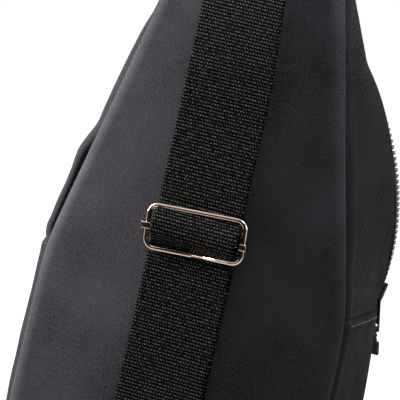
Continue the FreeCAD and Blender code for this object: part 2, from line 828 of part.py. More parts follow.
def wire_frame(width, height, corner, wire):
    """A rounded rectangle of round wire standing in the XZ plane."""
    half_x = (width - wire) / 2
    half_z = (height - wire) / 2
    points = [Vector(-half_x, 0, -half_z), Vector(half_x, 0, -half_z),
              Vector(half_x, 0, half_z), Vector(-half_x, 0, half_z)]
    bars = Part.makePolygon(points + points[:1])
    face = Part.Face(bars).extrude(Vector(0, 1, 0))
    upright = [edge for edge in face.Edges if runs_along_y(edge)]
    path_face = next(f for f in face.makeFillet(corner - wire / 2, upright).Faces
                     if f.BoundBox.YLength < 0.01 and f.BoundBox.YMax < 0.01)
    path = path_face.OuterWire
    start = path.Edges[0].firstVertex().Point
    tangent = path.Edges[0].tangentAt(path.Edges[0].FirstParameter)
    across = tangent.cross(Vector(0, 1, 0))
    turns = [math.pi / 6 * (i + 0.5) for i in range(12)]
    rim = [start + (across * math.cos(turn) + Vector(0, math.sin(turn), 0)) * wire / 2
           for turn in turns]
    profile = Part.makePolygon(rim + rim[:1])
    return path.makePipeShell([profile], True, False)


def make_hardware():
    wire = s.wire.value
    at = Placement(Vector(0, buckle_y, s.buckle_at.value), Rotation())
    frame = wire_frame(s.buckle_width.value, s.buckle_height.value, s.buckle_corner.value, wire)
    solid_feature("buckle_frame", frame, at)

    side = (s.buckle_width.value - wire) / 2
    radius = s.bar_wire.value / 2
    inner_end = side - wire / 2 - s.running_gap.value - s.lug_wall.value / 2
    bar = Part.makeCylinder(radius, 2 * inner_end, Vector(-inner_end, 0, 0), Vector(1, 0, 0))
    lug_reach = wire / 2 + s.running_gap.value + s.lug_wall.value
    bore = wire / 2 + s.running_gap.value
    tall = s.lug_length.value
    lugs = []
    for hand in (1, -1):
        lug = Part.makeBox(2 * lug_reach, 2 * lug_reach, tall)
        lug.translate(Vector(hand * side - lug_reach, -lug_reach, -tall / 2))
        hole = Part.makeCylinder(bore, tall + 2, Vector(hand * side, 0, -tall / 2 - 1))
        lugs.append(lug.cut(hole))
    solid_feature("buckle_bar", bar.fuse(lugs).removeSplitter(), at)

    ring = wire_frame(s.buckle_width.value, s.ring_height.value, s.ring_corner.value, wire)
    solid_feature("strap_ring", ring, Placement(Vector(0, ring_y, s.ring_at.value), Rotation()))


make_strap()
make_hardware()

os.makedirs("parts", exist_ok=True)
doc.recompute()
for item in doc.Objects:
    if "Invalid" in item.State or "Error" in item.State:
        raise RuntimeError(f"{item.Label} failed: {item.State}")
for item in kept:
    shape = item.Shape
    if shape.isNull() or not shape.isValid():
        raise RuntimeError(f"{item.Label} has no valid shape")
    shape.exportStep(os.path.join("parts", f"{item.Label}.step"))
    print(item.Label, len(shape.Solids), round(shape.Volume, 1))
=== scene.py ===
"""Looks of a sling bag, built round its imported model.

The frame is in metres: Z = 0 is the surface it stands on, -Y the padded back, +Y the zipped front.
"""
import math

import bmesh
import bpy
import numpy as np
from mathutils import Matrix, Vector, noise


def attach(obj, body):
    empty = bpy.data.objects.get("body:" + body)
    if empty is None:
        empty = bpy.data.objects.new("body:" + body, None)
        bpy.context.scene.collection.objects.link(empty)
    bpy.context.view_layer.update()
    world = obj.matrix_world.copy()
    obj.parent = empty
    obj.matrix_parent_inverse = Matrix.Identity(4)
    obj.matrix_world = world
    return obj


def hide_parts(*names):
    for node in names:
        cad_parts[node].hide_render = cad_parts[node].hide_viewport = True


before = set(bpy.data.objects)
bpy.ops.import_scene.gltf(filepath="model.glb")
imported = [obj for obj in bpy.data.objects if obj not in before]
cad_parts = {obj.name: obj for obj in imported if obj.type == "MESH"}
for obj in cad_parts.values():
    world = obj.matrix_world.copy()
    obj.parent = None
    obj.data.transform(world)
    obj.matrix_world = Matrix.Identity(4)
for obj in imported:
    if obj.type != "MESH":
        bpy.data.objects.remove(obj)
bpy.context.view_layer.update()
mm = 0.001
scene = bpy.context.scene


# ---------------------------------------------------------------- padded back
# The back is one pad of foam between a twill cover and a lining, sewn all round into a sunk seam.
# The cover is dark polyester twill: fine diagonal ribs, a dull sheen and slow changes of shade
# where the foam pushes it out.

HEIGHT = 290 * mm
BASE_CORNER = 16 * mm
TOP_CORNER = 7 * mm
BASE_HALF = 69.2 * mm
LOW_TAPER = 0.018
WAIST_Z = 104 * mm
WAIST_HALF = 66.9 * mm
HIGH_TAPER = 0.2386
SEAM_Y = -24.0 * mm
SEAM_TUCK = 3.6 * mm
TUCK_Y = SEAM_Y + 1.2 * mm
CLOTH = 1.0 * mm
EDGE_GAP = 0.6 * mm
RIM_HEIGHT = 4.6 * mm
RIM_RADIUS = 5.5 * mm
CROWN = 2.6 * mm
CROWN_FOOT = 1.6 * mm
CROWN_REACH = 62 * mm
HOLLOW = 0.6 * mm
PUCKER = 0.45 * mm
CORNER_FALL = 2.6 * mm


def side_reach(z):
    """Half width of the back's outline: two tapers that meet in a soft bend at the waist."""
    low = BASE_HALF - LOW_TAPER * z
    high = WAIST_HALF - HIGH_TAPER * (z - WAIST_Z)
    return -math.log(math.exp(-low / mm) + math.exp(-high / mm)) * mm


def half_width(z):
    """The same half width with the corners of the base and the top rounded off."""
    reach = side_reach(z)
    if z < BASE_CORNER:
        reach -= BASE_CORNER - math.sqrt(BASE_CORNER ** 2 - (BASE_CORNER - z) ** 2)
    if z > HEIGHT - TOP_CORNER:
        rise = z - HEIGHT + TOP_CORNER
        reach -= TOP_CORNER - math.sqrt(max(TOP_CORNER ** 2 - rise ** 2, 0.0))
    return reach


def levels(first, last, count, crowd=0.0):
    """Heights from first to last, set closer together towards both ends as crowd nears 1."""
    steps = np.linspace(0.0, 1.0, count)
    eased = (1 - np.cos(steps * math.pi)) / 2
    return first + (last - first) * ((1 - crowd) * steps + crowd * eased)


def linear(hex_colour):
    """An sRGB hex colour as linear red, green, blue and alpha."""
    parts = [int(hex_colour[i:i + 2], 16) / 255 for i in (0, 2, 4)]
    return [p / 12.92 if p <= 0.04045 else ((p + 0.055) / 1.055) ** 2.4 for p in parts] + [1.0]


def add_node(tree, kind, settings=None, **links):
    """Add a node, set its settings and input values, and link the sockets given to its inputs."""
    made = tree.nodes.new(kind)
    for name, value in (settings or {}).items():
        if isinstance(name, int) or name in made.inputs:
            made.inputs[name].default_value = value
        else:
            setattr(made, name, value)
    for name, socket in links.items():
        key = int(name[1:]) if name[0] == "_" else name.replace("_", " ")
        tree.links.new(socket, made.inputs[key])
    return made


def new_material(name):
    """A new material with its node tree and its main shader."""
    material = bpy.data.materials.new(name)
    material.use_nodes = True
    tree = material.node_tree
    return material, tree, tree.nodes["Principled BSDF"]


def woven_look(tree, shader, shade, height, colours, stops, relief, depth, roughness):
    """Colour woven threads from dark to light by their shade, and raise them by their height."""
    ramp = add_node(tree, "ShaderNodeValToRGB", _0=shade)
    for end, colour, stop in zip(ramp.color_ramp.elements, colours, stops):
        end.color = linear(colour)
        end.position = stop
    bump = add_node(tree, "ShaderNodeBump", {"Strength": relief, "Distance": depth},
                    Height=height)
    tree.links.new(ramp.outputs["Color"], shader.inputs["Base Color"])
    tree.links.new(bump.outputs[0], shader.inputs["Normal"])
    shader.inputs["Roughness"].default_value = roughness


def twill_cloth(name, dark, light, pitch, turn, sheen=0.25, relief=0.35):
    """Dull woven cloth: fine ribs one way, finer threads across them, and slow changes of shade.

    The pitch of the ribs is about twice that of real thread, as coarse as it needs to show.
    """
    material, tree, shader = new_material(name)
    place = add_node(tree, "ShaderNodeTexCoord").outputs["Object"]
    one_band = 2 * math.pi / 20
    shade_size = 45.45 * mm
    rib_turn = add_node(tree, "ShaderNodeMapping", {"Rotation": turn}, Vector=place).outputs[0]
    across = (turn[0], turn[1] + math.pi / 2, turn[2])
    cross_turn = add_node(tree, "ShaderNodeMapping", {"Rotation": across}, Vector=place).outputs[0]
    ribs = add_node(tree, "ShaderNodeTexWave",
                    {"Scale": one_band / pitch, "Distortion": 0.8, "Detail": 1.0}, Vector=rib_turn)
    picks = add_node(tree, "ShaderNodeTexWave",
                     {"Scale": one_band / (pitch * 1.15), "Distortion": 0.8, "Detail": 1.0},
                     Vector=cross_turn)
    threads = add_node(tree, "ShaderNodeTexNoise", {"Scale": 0.8 / pitch, "Detail": 2.0},
                       Vector=place)
    shade = add_node(tree, "ShaderNodeTexNoise", {"Scale": 1 / shade_size, "Detail": 3.0},
                     Vector=place)
    woven = add_node(tree, "ShaderNodeMath", {"operation": "MULTIPLY_ADD", 1: 0.45},
                     _0=picks.outputs["Fac"], _2=ribs.outputs["Fac"])
    weave = add_node(tree, "ShaderNodeMath", {"operation": "MULTIPLY"},
                     _0=woven.outputs[0], _1=threads.outputs["Fac"])
    mixed = add_node(tree, "ShaderNodeMath", {"operation": "MULTIPLY_ADD", 1: 1.1},
                     _0=weave.outputs[0], _2=shade.outputs["Fac"])
    woven_look(tree, shader, mixed.outputs[0], weave.outputs[0], (dark, light), (0.45, 0.977),
               relief, 0.25 * mm, 0.72)
    shader.inputs["Specular IOR Level"].default_value = 0.0
    shader.inputs["Sheen Weight"].default_value = sheen
    shader.inputs["Sheen Roughness"].default_value = 0.4
    shader.inputs["Sheen Tint"].default_value = linear("8e8c96")
    return material


def as_piece(name, mesh):
    """A mesh as a piece of its own at the origin, with smooth faces."""
    mesh.polygons.foreach_set("use_smooth", [True] * len(mesh.polygons))
    piece = bpy.data.objects.new(name, mesh)
    scene.collection.objects.link(piece)
    return piece


def mesh_piece(name, points, faces, uv=None):
    """A piece from points and faces and, where given, a UV in metres for each point."""
    mesh = bpy.data.meshes.new(name)
    mesh.from_pydata([tuple(p) for p in points], [], faces)
    if uv is not None:
        layer = mesh.uv_layers.new(name="UVMap")
        for loop in mesh.loops:
            layer.data[loop.index].uv = uv[loop.vertex_index]
    mesh.update()
    return as_piece(name, mesh)


def grid_piece(name, rows, uv_rows=None, closed=False):
    """A sheet through rows of points, with a face between each four neighbours."""
    across = len(rows[0])
    points = [point for row in rows for point in row]
    faces = []
    for j in range(len(rows) - 1):
        for i in range(across if closed else across - 1):
            k = (i + 1) % across
            faces.append((j * across + i, j * across + k, (j + 1) * across + k,
                          (j + 1) * across + i))
    uv = [value for row in uv_rows for value in row] if uv_rows else None
    return mesh_piece(name, points, faces, uv)


def baked(piece):
    """Apply every modifier of a piece by keeping its evaluated mesh."""
    evaluated = piece.evaluated_get(bpy.context.evaluated_depsgraph_get())
    mesh = bpy.data.meshes.new_from_object(evaluated)
    piece.modifiers.clear()
    piece.data = mesh
    return piece


def face_outwards(piece, outside):
    """Turn a sheet's faces so that on the whole they look in the direction given."""
    total = Vector((0.0, 0.0, 0.0))
    for polygon in piece.data.polygons:
        total += polygon.normal * polygon.area
    if total.dot(Vector(outside)) < 0:
        piece.data.flip_normals()
    return piece


def thickened(piece, thickness):
    """Give a sheet a wall on its inner side, and keep the result."""
    wall = piece.modifiers.new("wall", "SOLIDIFY")
    wall.thickness = thickness
    wall.offset = -1.0
    wall.use_even_offset = False
    return baked(piece)


def dress(piece, material, body, replaced=()):
    """Give a finished piece its material, its body and the nodes it stands for."""
    piece.data.materials.clear()
    piece.data.materials.append(material)
    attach(piece, body)
    if replaced:
        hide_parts(*replaced)
    return piece


# Polyester twill with diagonal ribs, dull and a little violet where light grazes it.
back_twill = twill_cloth("polyester_twill", "0e0d0f", "464449", 0.7 * mm, (0.0, -0.95, 0.0), 0.2)


def eased(value, first, last):
    """0 below first, 1 above last, and a smooth rise between them."""
    share = min(max((value - first) / (last - first), 0.0), 1.0)
    return share * share * (3 - 2 * share)


def rolled(distance, radius):
    """Height, 0 to 1, of a rim that rolls up over a radius from a seam."""
    share = min(max(distance / radius, 0.0), 1.0)
    return math.sqrt(1 - (1 - share) ** 2)


def back_surface(x, z):
    """Outer surface of the pad: a rolled rim, a long crown, and slow hollows in the foam.

    The cloth puckers beside the seam, and the pad is thinner towards its lower right corner.
    """
    rim = min(half_width(z) - EDGE_GAP - abs(x), z + 0.3 * mm, HEIGHT - z + 0.3 * mm)
    edge = RIM_HEIGHT * rolled(rim, RIM_RADIUS)
    inward = min(max(rim / CROWN_REACH, 0.0), 1.0)
    crown = (CROWN + CROWN_FOOT * (1 - z / HEIGHT)) * (inward + 0.5 * inward * (1 - inward))
    hollow = HOLLOW * noise.noise(Vector((x, 0.0, z)) * 24.0) * rolled(rim, 30 * mm)
    pucker = PUCKER * noise.noise(Vector((x * 0.6, 4.0, z)) * 130.0)
    pucker *= math.exp(-rim / (9 * mm)) * rolled(rim, 3 * mm)
    fall = CORNER_FALL * (max(x, 0.0) / (60 * mm)) ** 2 * (1 - eased(z, 60 * mm, 210 * mm))
    return SEAM_Y - 1.2 * mm - edge - crown + hollow + pucker + fall * rolled(rim, RIM_RADIUS)


# The cover's edges turn in under the seam, on all four sides.
back_rows = []
for z in levels(0.4 * mm, HEIGHT - 0.4 * mm, 170, 0.5):
    reach = half_width(z) - EDGE_GAP
    row = [Vector((x, back_surface(x, z), z)) for x in levels(-reach, reach, 90, 0.75)]
    tucked = reach - SEAM_TUCK
    back_rows.append([Vector((-tucked, TUCK_Y, z))] + row + [Vector((tucked, TUCK_Y, z))])
for edge_row, inward in ((back_rows[0], SEAM_TUCK), (back_rows[-1], -SEAM_TUCK)):
    turned = [Vector((p.x * 0.96, TUCK_Y, p.z + inward)) for p in edge_row]
    back_rows.insert(0 if inward > 0 else len(back_rows), turned)
back_pad = face_outwards(grid_piece("back_pad", back_rows), (0, -1, 0))
thickened(back_pad, CLOTH)
dress(back_pad, back_twill, "bag", ["back_panel", "back_foam"])


# ---------------------------------------------------------------- side bands
# One long band of cloth joins the back to the front: it runs under the base and up both sides to
# a cross seam, and a second band goes on over the top. Between the seams the cloth is slack, so it
# rolls into a ridge beside the back seam and hangs in shallow folds.

CROSS_SEAM = 103 * mm
LEAN = math.radians(19.4)
BAND_FRONT = 33.5 * mm
TOP_FRONT = -14 * mm
ZIP_Z = 135 * mm
ZIP_Y = 28.38 * mm
SIDE_RADIUS = 120 * mm
ARCH_HALF = 67.2 * mm
CROWN_RADIUS = 56 * mm
SIDE_CENTRE = ARCH_HALF - SIDE_RADIUS
CROWN_W = math.sqrt((SIDE_RADIUS - CROWN_RADIUS) ** 2 - SIDE_CENTRE ** 2)
CROWN_TURN = math.atan2(CROWN_W, -SIDE_CENTRE)
BAND_STEP = 1.3 * mm
SEAM_DROP = 1.7 * mm


def bell(distance, spread):
    """1 at no distance, falling smoothly to nearly nothing beyond twice the spread."""
    return math.exp(-(distance / spread) ** 2)


def band_depth(z):
    """Depth of the front panels' sewn edge, which leans back above the cross seam."""
    return min(BAND_FRONT, BAND_FRONT - math.tan(LEAN) * (z - CROSS_SEAM))


def arch_half(w, inset=0.0):
    """Half width of the zip's arch at a distance up its sloping plane."""
    radius = SIDE_RADIUS - inset
    if w <= radius * math.sin(CROWN_TURN):
        return SIDE_CENTRE + math.sqrt(radius ** 2 - w ** 2)
    return math.sqrt(max((CROWN_RADIUS - inset) ** 2 - (w - CROWN_W) ** 2, 0.0))


def front_edge(z):
    """Half width and depth of the band's front edge: drawn in at the waist, full over the arch."""
    reach = half_width(z) - 2.0 * mm * bell(z - 108 * mm, 30 * mm)
    if z <= CROSS_SEAM:
        return reach, BAND_FRONT
    full = 2.5 * mm * bell(z - 205 * mm, 25 * mm)
    depth = max(band_depth(z), TOP_FRONT) + full
    arch = arch_half((z - ZIP_Z) / math.cos(LEAN), -1.2 * mm)
    wider = 0.5 * (reach + arch + math.sqrt((reach - arch) ** 2 + (2 * mm) ** 2))
    return wider - 0.6 * mm + full, depth


def band_route(step):
    """Points round the back's outline and their outward directions, from the middle of the base."""
    right = [Vector((half_width(z), 0.0, z)) for z in levels(0.0, HEIGHT, 420, 0.85)]
    flat_base = [Vector((x, 0.0, 0.0)) for x in np.linspace(0.0, right[0].x, 30)[:-1]]
    flat_top = [Vector((x, 0.0, HEIGHT)) for x in np.linspace(right[-1].x, 0.0, 10)[1:]]
    half = flat_base + right + flat_top
    left = [Vector((-p.x, 0.0, p.z)) for p in reversed(half[1:-1])]
    loop = half + left
    lengths = [0.0]
    for a, b in zip(loop, loop[1:] + loop[:1]):
        lengths.append(lengths[-1] + (b - a).length)
    count = int(lengths[-1] / step)
    wanted = np.linspace(0.0, lengths[-1], count, endpoint=False)
    xs = np.interp(wanted, lengths, [p.x for p in loop] + [loop[0].x])
    zs = np.interp(wanted, lengths, [p.z for p in loop] + [loop[0].z])
    places = [Vector((x, 0.0, z)) for x, z in zip(xs, zs)]
    outward = []
    for i in range(count):
        along = places[(i + 2) % count] - places[i - 2]
        outward.append(Vector((along.z, 0.0, -along.x)).normalized())
    return places, outward


def roll_share(z):
    """How much the left side rolls over beside the back seam: full just above the cross seam."""
    return eased(z, 100 * mm, 110 * mm) * (1 - eased(z, 140 * mm, 158 * mm))


def slack(share, depth, place):
    """How far the band stands out from a straight pull between its seams.

    It is sunk at both seams and at the cross seam, and stands out most in the ridge's crest.
    """
    from_back = share * depth
    from_front = (1 - share) * depth
    wander = noise.noise(Vector((place.z * 26, 1.5 if place.x > 0 else 8.5, 0.0)))
    if place.x < 0:
        low = 2.4 * (1 - eased(place.z, 98 * mm, 112 * mm))
        puff = (1.3 + low + 3.2 * roll_share(place.z)) * mm * (1 + 0.3 * wander)
        seam = -3.2 * mm * bell(from_back, 1.9 * mm)
        crest, spread = 6.6 * mm, 3.0 * mm
    else:
        puff = 0.7 * mm * (1 + 1.5 * wander)
        groove = (2.4 - 1.3 * eased(place.z, 20 * mm, 90 * mm)) * mm
        seam = -2.0 * mm * (1 + 0.7 * wander) * bell(from_back, groove)
        crest, spread = 3.4 * mm, 2.4 * mm
    ridge = puff * bell(from_back - crest, spread)
    front_seam = -0.9 * mm * bell(from_front, 1.2 * mm)
    belly = 0.7 * mm * math.sin(math.pi * min(max(share, 0.0), 1.0))
    fold = noise.noise(Vector((place.z * 22, from_back * 40, 2.0 + place.x * 8))) * 0.8 * mm
    crease = noise.noise(Vector((place.z * 70 - from_back * 50, from_back * 26, 7.0))) * 0.4 * mm
    soft = rolled(from_back, 9 * mm) * rolled(from_front, 9 * mm)
    foot = min(place.z / (30 * mm), 1.0)
    cross = 0.0
    if 60 * mm < place.z < 150 * mm:
        gap = place.z - CROSS_SEAM
        cross = -0.5 * mm * bell(gap, 0.8 * mm) + 0.5 * mm * bell(gap + 3 * mm, 2.5 * mm)
    return (ridge + belly + (fold + crease) * soft) * foot + seam + front_seam + cross


def roll_back(share, depth, place):
    """How far the left side's ridge rolls back towards the wearer, beyond a sunk seam."""
    from_back = share * depth
    rolled_edge = 3.8 * mm * bell(from_back - 4.0 * mm, 2.0 * mm)
    sunk = 1.5 * mm * bell(from_back, 1.8 * mm)
    return (rolled_edge - sunk) * roll_share(place.z)


# Each row runs from a turned-in edge under the back seam to the front. The cross seam hangs a
# little towards the front.
band_rows = []
route, directions = band_route(BAND_STEP)
for place, out in zip(route, directions):
    drop = SEAM_DROP * bell(place.z - CROSS_SEAM, 18 * mm)
    reach, front = front_edge(max(place.z - drop, 0.0))
    spread = reach - half_width(place.z)
    depth = front - SEAM_Y
    hand = 1 if place.x > 0 else -1
    row = [Vector((place.x, TUCK_Y, place.z)) - out * 6 * mm]
    for share in levels(0.0, 1.0, 46, 0.6):
        point = Vector((place.x + hand * spread * share, SEAM_Y + depth * share,
                        place.z - drop * share))
        if hand < 0:
            point.y -= roll_back(share, depth, place)
        stand = slack(share, depth, place)
        if place.z < 1 * mm:
            stand = min(stand, 0.0)
        row.append(point + out * stand)
    band_rows.append(row)
band_rows.append(band_rows[0])

# Polyester with fine ribs from back to front: darker and flatter than the back's twill.
band_cloth = twill_cloth("ribbed_polyester", "121112", "333133", 0.75 * mm, (0.0, 1.57, 0.0),
                         0.2, 0.25)


def sewn_cloth(piece, material, body, nodes):
    """Give a cut of cloth its wall, its finish and its body."""
    thickened(piece, CLOTH)
    dress(piece, material, body, nodes)
    return piece


def band_part(name, keep, nodes):
    """The part of the band whose rows pass a test, as one sewn piece."""
    kept_rows = []
    pieces = []
    for row in band_rows + [None]:
        if row is not None and keep(row[0].z):
            kept_rows.append(row)
        elif kept_rows:
            pieces.append(kept_rows)
            kept_rows = []
    rows = pieces[0] if len(pieces) == 1 else pieces[1][:-1] + pieces[0]
    piece = grid_piece(name, rows)
    middle = Vector((0.0, 0.0, 120 * mm))
    if sum(face.normal.dot(face.center - middle) * face.area for face in piece.data.polygons) < 0:
        piece.data.flip_normals()
    return sewn_cloth(piece, band_cloth, "bag", nodes)


band_part("side_band_lower", lambda z: z < CROSS_SEAM + 0.2 * mm, ["gusset_lower"])
band_part("side_band_upper", lambda z: z > CROSS_SEAM - 1.2 * mm, ["gusset_upper"])


# ---------------------------------------------------------------- front panels and flap
# The front is cut in three: a deep lower panel, a flap that the arched zip closes and that folds
# forward along its foot, and a yoke above the zip that runs up to the narrow top. The cloth is
# close to the side bands' and is drawn smooth over what the bag holds.

FOLD = 118 * mm
RIM_RISE = 2.2 * mm
FRONT_FOOT = 5.5 * mm
FRONT_TUCK = 0.6 * mm
FLOOR_GAP = 0.4 * mm
FLAP_INSET = 7.0 * mm
FLAP_FOOT = (FOLD + 0.5 * mm - ZIP_Z) / math.cos(LEAN)
YOKE_FOOT = 150 * mm


def zip_place(u, w, out):
    """A point across, up and out from the zip's sloping plane."""
    return Vector((u, ZIP_Y - w * math.sin(LEAN) + out * math.cos(LEAN),
                   ZIP_Z + w * math.cos(LEAN) + out * math.sin(LEAN)))


def plane_y(z, out=0.0):
    """Depth of the zip's plane at a height, or of a plane that stands out from it."""
    return ZIP_Y + math.tan(LEAN) * (ZIP_Z - z) + out / math.cos(LEAN)


def lower_front_surface(x, z):
    """Outer surface of the lower front: rolled up from the band's edge, bent at the slope."""
    reach = front_edge(z)[0]
    face = min(plane_y(CROSS_SEAM, RIM_RISE), plane_y(z, RIM_RISE))
    rim = min(reach - abs(x), z - FRONT_FOOT + 0.2 * mm)
    rise = rolled(rim + 0.3 * mm, 13 * mm)
    soft = noise.noise(Vector((x, 9.0, z)) * 26) * 0.8 * mm * rolled(rim, 20 * mm)
    soft *= rolled(FOLD - z + 0.5 * mm, 12 * mm)
    sag = 0.6 * mm * math.sin(math.pi * min(max(z / FOLD, 0.0), 1.0))
    back = band_depth(z)
    return back + (face - back) * rise + soft + sag * rise


# The panel's sides turn in behind the band's edge, and its foot turns down to the base.
front_rows = []
for z in levels(FRONT_FOOT, FOLD - 0.2 * mm, 80, 0.6):
    reach = front_edge(z)[0] - 0.3 * mm
    if z > CROSS_SEAM:
        reach = arch_half((z - ZIP_Z) / math.cos(LEAN), 8.4 * mm)
    row = [Vector((x, lower_front_surface(x, z), z)) for x in levels(-reach, reach, 80, 0.75)]
    tuck_y = band_depth(z) - 0.9 * mm
    front_rows.append([Vector((-reach + FRONT_TUCK, tuck_y, z))] + row
                      + [Vector((reach - FRONT_TUCK, tuck_y, z))])
foot_scale = front_edge(FLOOR_GAP)[0] / front_rows[0][-1].x
front_rows.insert(0, [Vector((p.x * foot_scale, BAND_FRONT - FLOOR_GAP, FLOOR_GAP))
                      for p in front_rows[0]])
# The front's polyester: the same weave with its ribs on the slant and a lighter face.
front_cloth = twill_cloth("front_polyester", "17161a", "38373d", 0.8 * mm, (0.0, 0.8, 0.0))
lower_front = face_outwards(grid_piece("lower_front", front_rows), (0, 1, 0))
sewn_cloth(lower_front, front_cloth, "bag", ["front_lower_panel"])

flap_rows = []
flap_top = CROWN_W + CROWN_RADIUS - FLAP_INSET
for w in levels(FLAP_FOOT, flap_top - 0.02 * mm, 90, 0.85):
    reach = arch_half(w, FLAP_INSET)
    row = []
    for u in levels(-reach, reach, 70, 0.75):
        rim = min(reach - abs(u), flap_top - w)
        dome = RIM_RISE * rolled(rim, 7 * mm) + 0.5 * mm * rolled(rim, 40 * mm)
        soft = noise.noise(Vector((u, 5.0, w)) * 24) * 0.7 * mm * rolled(rim, 22 * mm)
        soft *= rolled(w - FLAP_FOOT, 12 * mm)
        row.append(zip_place(u, w, dome + soft - 0.3 * mm))
    flap_rows.append(row)
flap = face_outwards(grid_piece("flap_cloth", flap_rows), (0, 1, 0))
sewn_cloth(flap, front_cloth, "flap", ["flap_panel"])

yoke_rows = []
for z in levels(YOKE_FOOT, HEIGHT - 0.5 * mm, 90, 0.3):
    reach, depth = front_edge(z)
    reach -= 0.3 * mm
    row = []
    for x in levels(-reach, reach, 80, 0.6):
        rim = min(reach - abs(x), HEIGHT - z)
        rise = RIM_RISE * rolled(rim, 5 * mm)
        soft = noise.noise(Vector((x, 3.0, z)) * 30) * 0.6 * mm * rolled(rim, 14 * mm)
        row.append(Vector((x, depth + rise + soft, z)))
    yoke_rows.append(row)
yoke = face_outwards(grid_piece("yoke", yoke_rows), (0, 1, 0))
thickened(yoke, CLOTH)


def closed_outwards(piece, fill_ends=False):
    """Point a closed shape's faces outwards, after its open ends are filled where asked."""
    cleaner = bmesh.new()
    cleaner.from_mesh(piece.data)
    if fill_ends:
        bmesh.ops.holes_fill(cleaner, edges=cleaner.edges, sides=0)
    bmesh.ops.recalc_face_normals(cleaner, faces=cleaner.faces)
    cleaner.to_mesh(piece.data)
    cleaner.free()
    return piece


# The yoke is cut out along the arch, half a millimetre clear of the zip's tape.
ARCH_CLEAR = 0.5 * mm
CUT_HALF = 30 * mm
CUT_FOOT = -60 * mm
arch_points = []
for share in np.linspace(-1.0, 1.0, 121):
    turn = (math.pi / 2) * (1 - abs(share))
    if turn > CROWN_TURN:
        reach = (CROWN_RADIUS + ARCH_CLEAR) * math.cos(turn)
        w = CROWN_W + (CROWN_RADIUS + ARCH_CLEAR) * math.sin(turn)
    else:
        reach = SIDE_CENTRE + (SIDE_RADIUS + ARCH_CLEAR) * math.cos(turn)
        w = (SIDE_RADIUS + ARCH_CLEAR) * math.sin(turn)
    arch_points.append((math.copysign(reach, share), w))
arch_points.append((arch_points[-1][0], CUT_FOOT))
arch_points.insert(0, (arch_points[0][0], CUT_FOOT))
count = len(arch_points)
ring_low = [zip_place(u, w, -CUT_HALF) for u, w in arch_points]
ring_high = [zip_place(u, w, CUT_HALF) for u, w in arch_points]
sides = [(i, (i + 1) % count, count + (i + 1) % count, count + i) for i in range(count)]
caps = [tuple(range(count - 1, -1, -1)), tuple(range(count, 2 * count))]
cutter = closed_outwards(mesh_piece("arch_cutter", ring_low + ring_high, sides + caps))
opening = yoke.modifiers.new("opening", "BOOLEAN")
opening.operation = "DIFFERENCE"
opening.object = cutter
opening.solver = "EXACT"
baked(yoke)
bpy.data.objects.remove(cutter)
dress(yoke, front_cloth, "bag", ["front_upper_panel"])


# ---------------------------------------------------------------- lining, foam and board
# Inside, a plain lining covers the foam of the back and a stiff board lies on the base. They show
# only with the flap open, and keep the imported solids' shapes with a finish of their own.

lining_cloth = twill_cloth("plain_lining", "131316", "2c2c31", 0.5 * mm, (0.0, 0.8, 0.0), 0.15, 0.2)
for name in ("back_lining", "base_board"):
    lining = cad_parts[name]
    lining.data.materials.clear()
    lining.data.materials.append(lining_cloth)


# ---------------------------------------------------------------- zip: tapes, teeth and stops
# A chunky moulded zip: two woven tapes with acetal teeth that lock along the middle. The outer
# tape stands between the side band and the teeth, the inner one is sewn under the flap.

ZIP_FOOT = 103.5 * mm
FOOT_TURN = math.asin((ZIP_FOOT - ZIP_Z) / math.cos(LEAN) / SIDE_RADIUS)
SIDE_RUN = SIDE_RADIUS * (CROWN_TURN - FOOT_TURN)
CROWN_RUN = CROWN_RADIUS * (math.pi - 2 * CROWN_TURN)
ZIP_LENGTH = 2 * SIDE_RUN + CROWN_RUN
TAPE = 0.5 * mm


def zip_run(run, inset):
    """Place in the zip's plane, and turn, at a distance along the arch from its right foot."""
    if run <= SIDE_RUN:
        turn, centre, radius = FOOT_TURN + run / SIDE_RADIUS, (SIDE_CENTRE, 0.0), SIDE_RADIUS
    elif run <= SIDE_RUN + CROWN_RUN:
        turn = CROWN_TURN + (run - SIDE_RUN) / CROWN_RADIUS
        centre, radius = (0.0, CROWN_W), CROWN_RADIUS
    else:
        turn = math.pi - CROWN_TURN + (run - SIDE_RUN - CROWN_RUN) / SIDE_RADIUS
        centre, radius = (-SIDE_CENTRE, 0.0), SIDE_RADIUS
    u = centre[0] + (radius - inset) * math.cos(turn)
    w = centre[1] + (radius - inset) * math.sin(turn)
    return u, w, turn


def woven_tape(name, dark, light, rib=0.9 * mm, speck_size=0.714 * mm):
    """Zip tape: close cross ribs in a warm, faintly green black, with specks of lighter yarn."""
    material, tree, shader = new_material(name)
    uv = add_node(tree, "ShaderNodeUVMap").outputs[0]
    split = add_node(tree, "ShaderNodeSeparateXYZ", _0=uv)
    ribs = add_node(tree, "ShaderNodeMath", {"operation": "MULTIPLY", 1: 2 * math.pi / rib},
                    _0=split.outputs[1])
    wave = add_node(tree, "ShaderNodeMath", {"operation": "SINE"}, _0=ribs.outputs[0])
    speck = add_node(tree, "ShaderNodeTexNoise", {"Scale": 1 / speck_size, "Detail": 1.0},
                     Vector=uv)
    blend = add_node(tree, "ShaderNodeMath", {"operation": "MULTIPLY_ADD", 1: 0.25, 2: 0.1},
                     _0=wave.outputs[0])
    total = add_node(tree, "ShaderNodeMath", {"operation": "ADD"},
                     _0=blend.outputs[0], _1=speck.outputs["Fac"])
    woven_look(tree, shader, total.outputs[0], wave.outputs[0], (dark, light), (0.3, 0.95),
               0.5, 0.2 * mm, 0.8)
    return material


# Woven polyester tape, dull and matt beside the glossy teeth.
tape_weave = woven_tape("woven_zip_tape", "121411", "34362f")


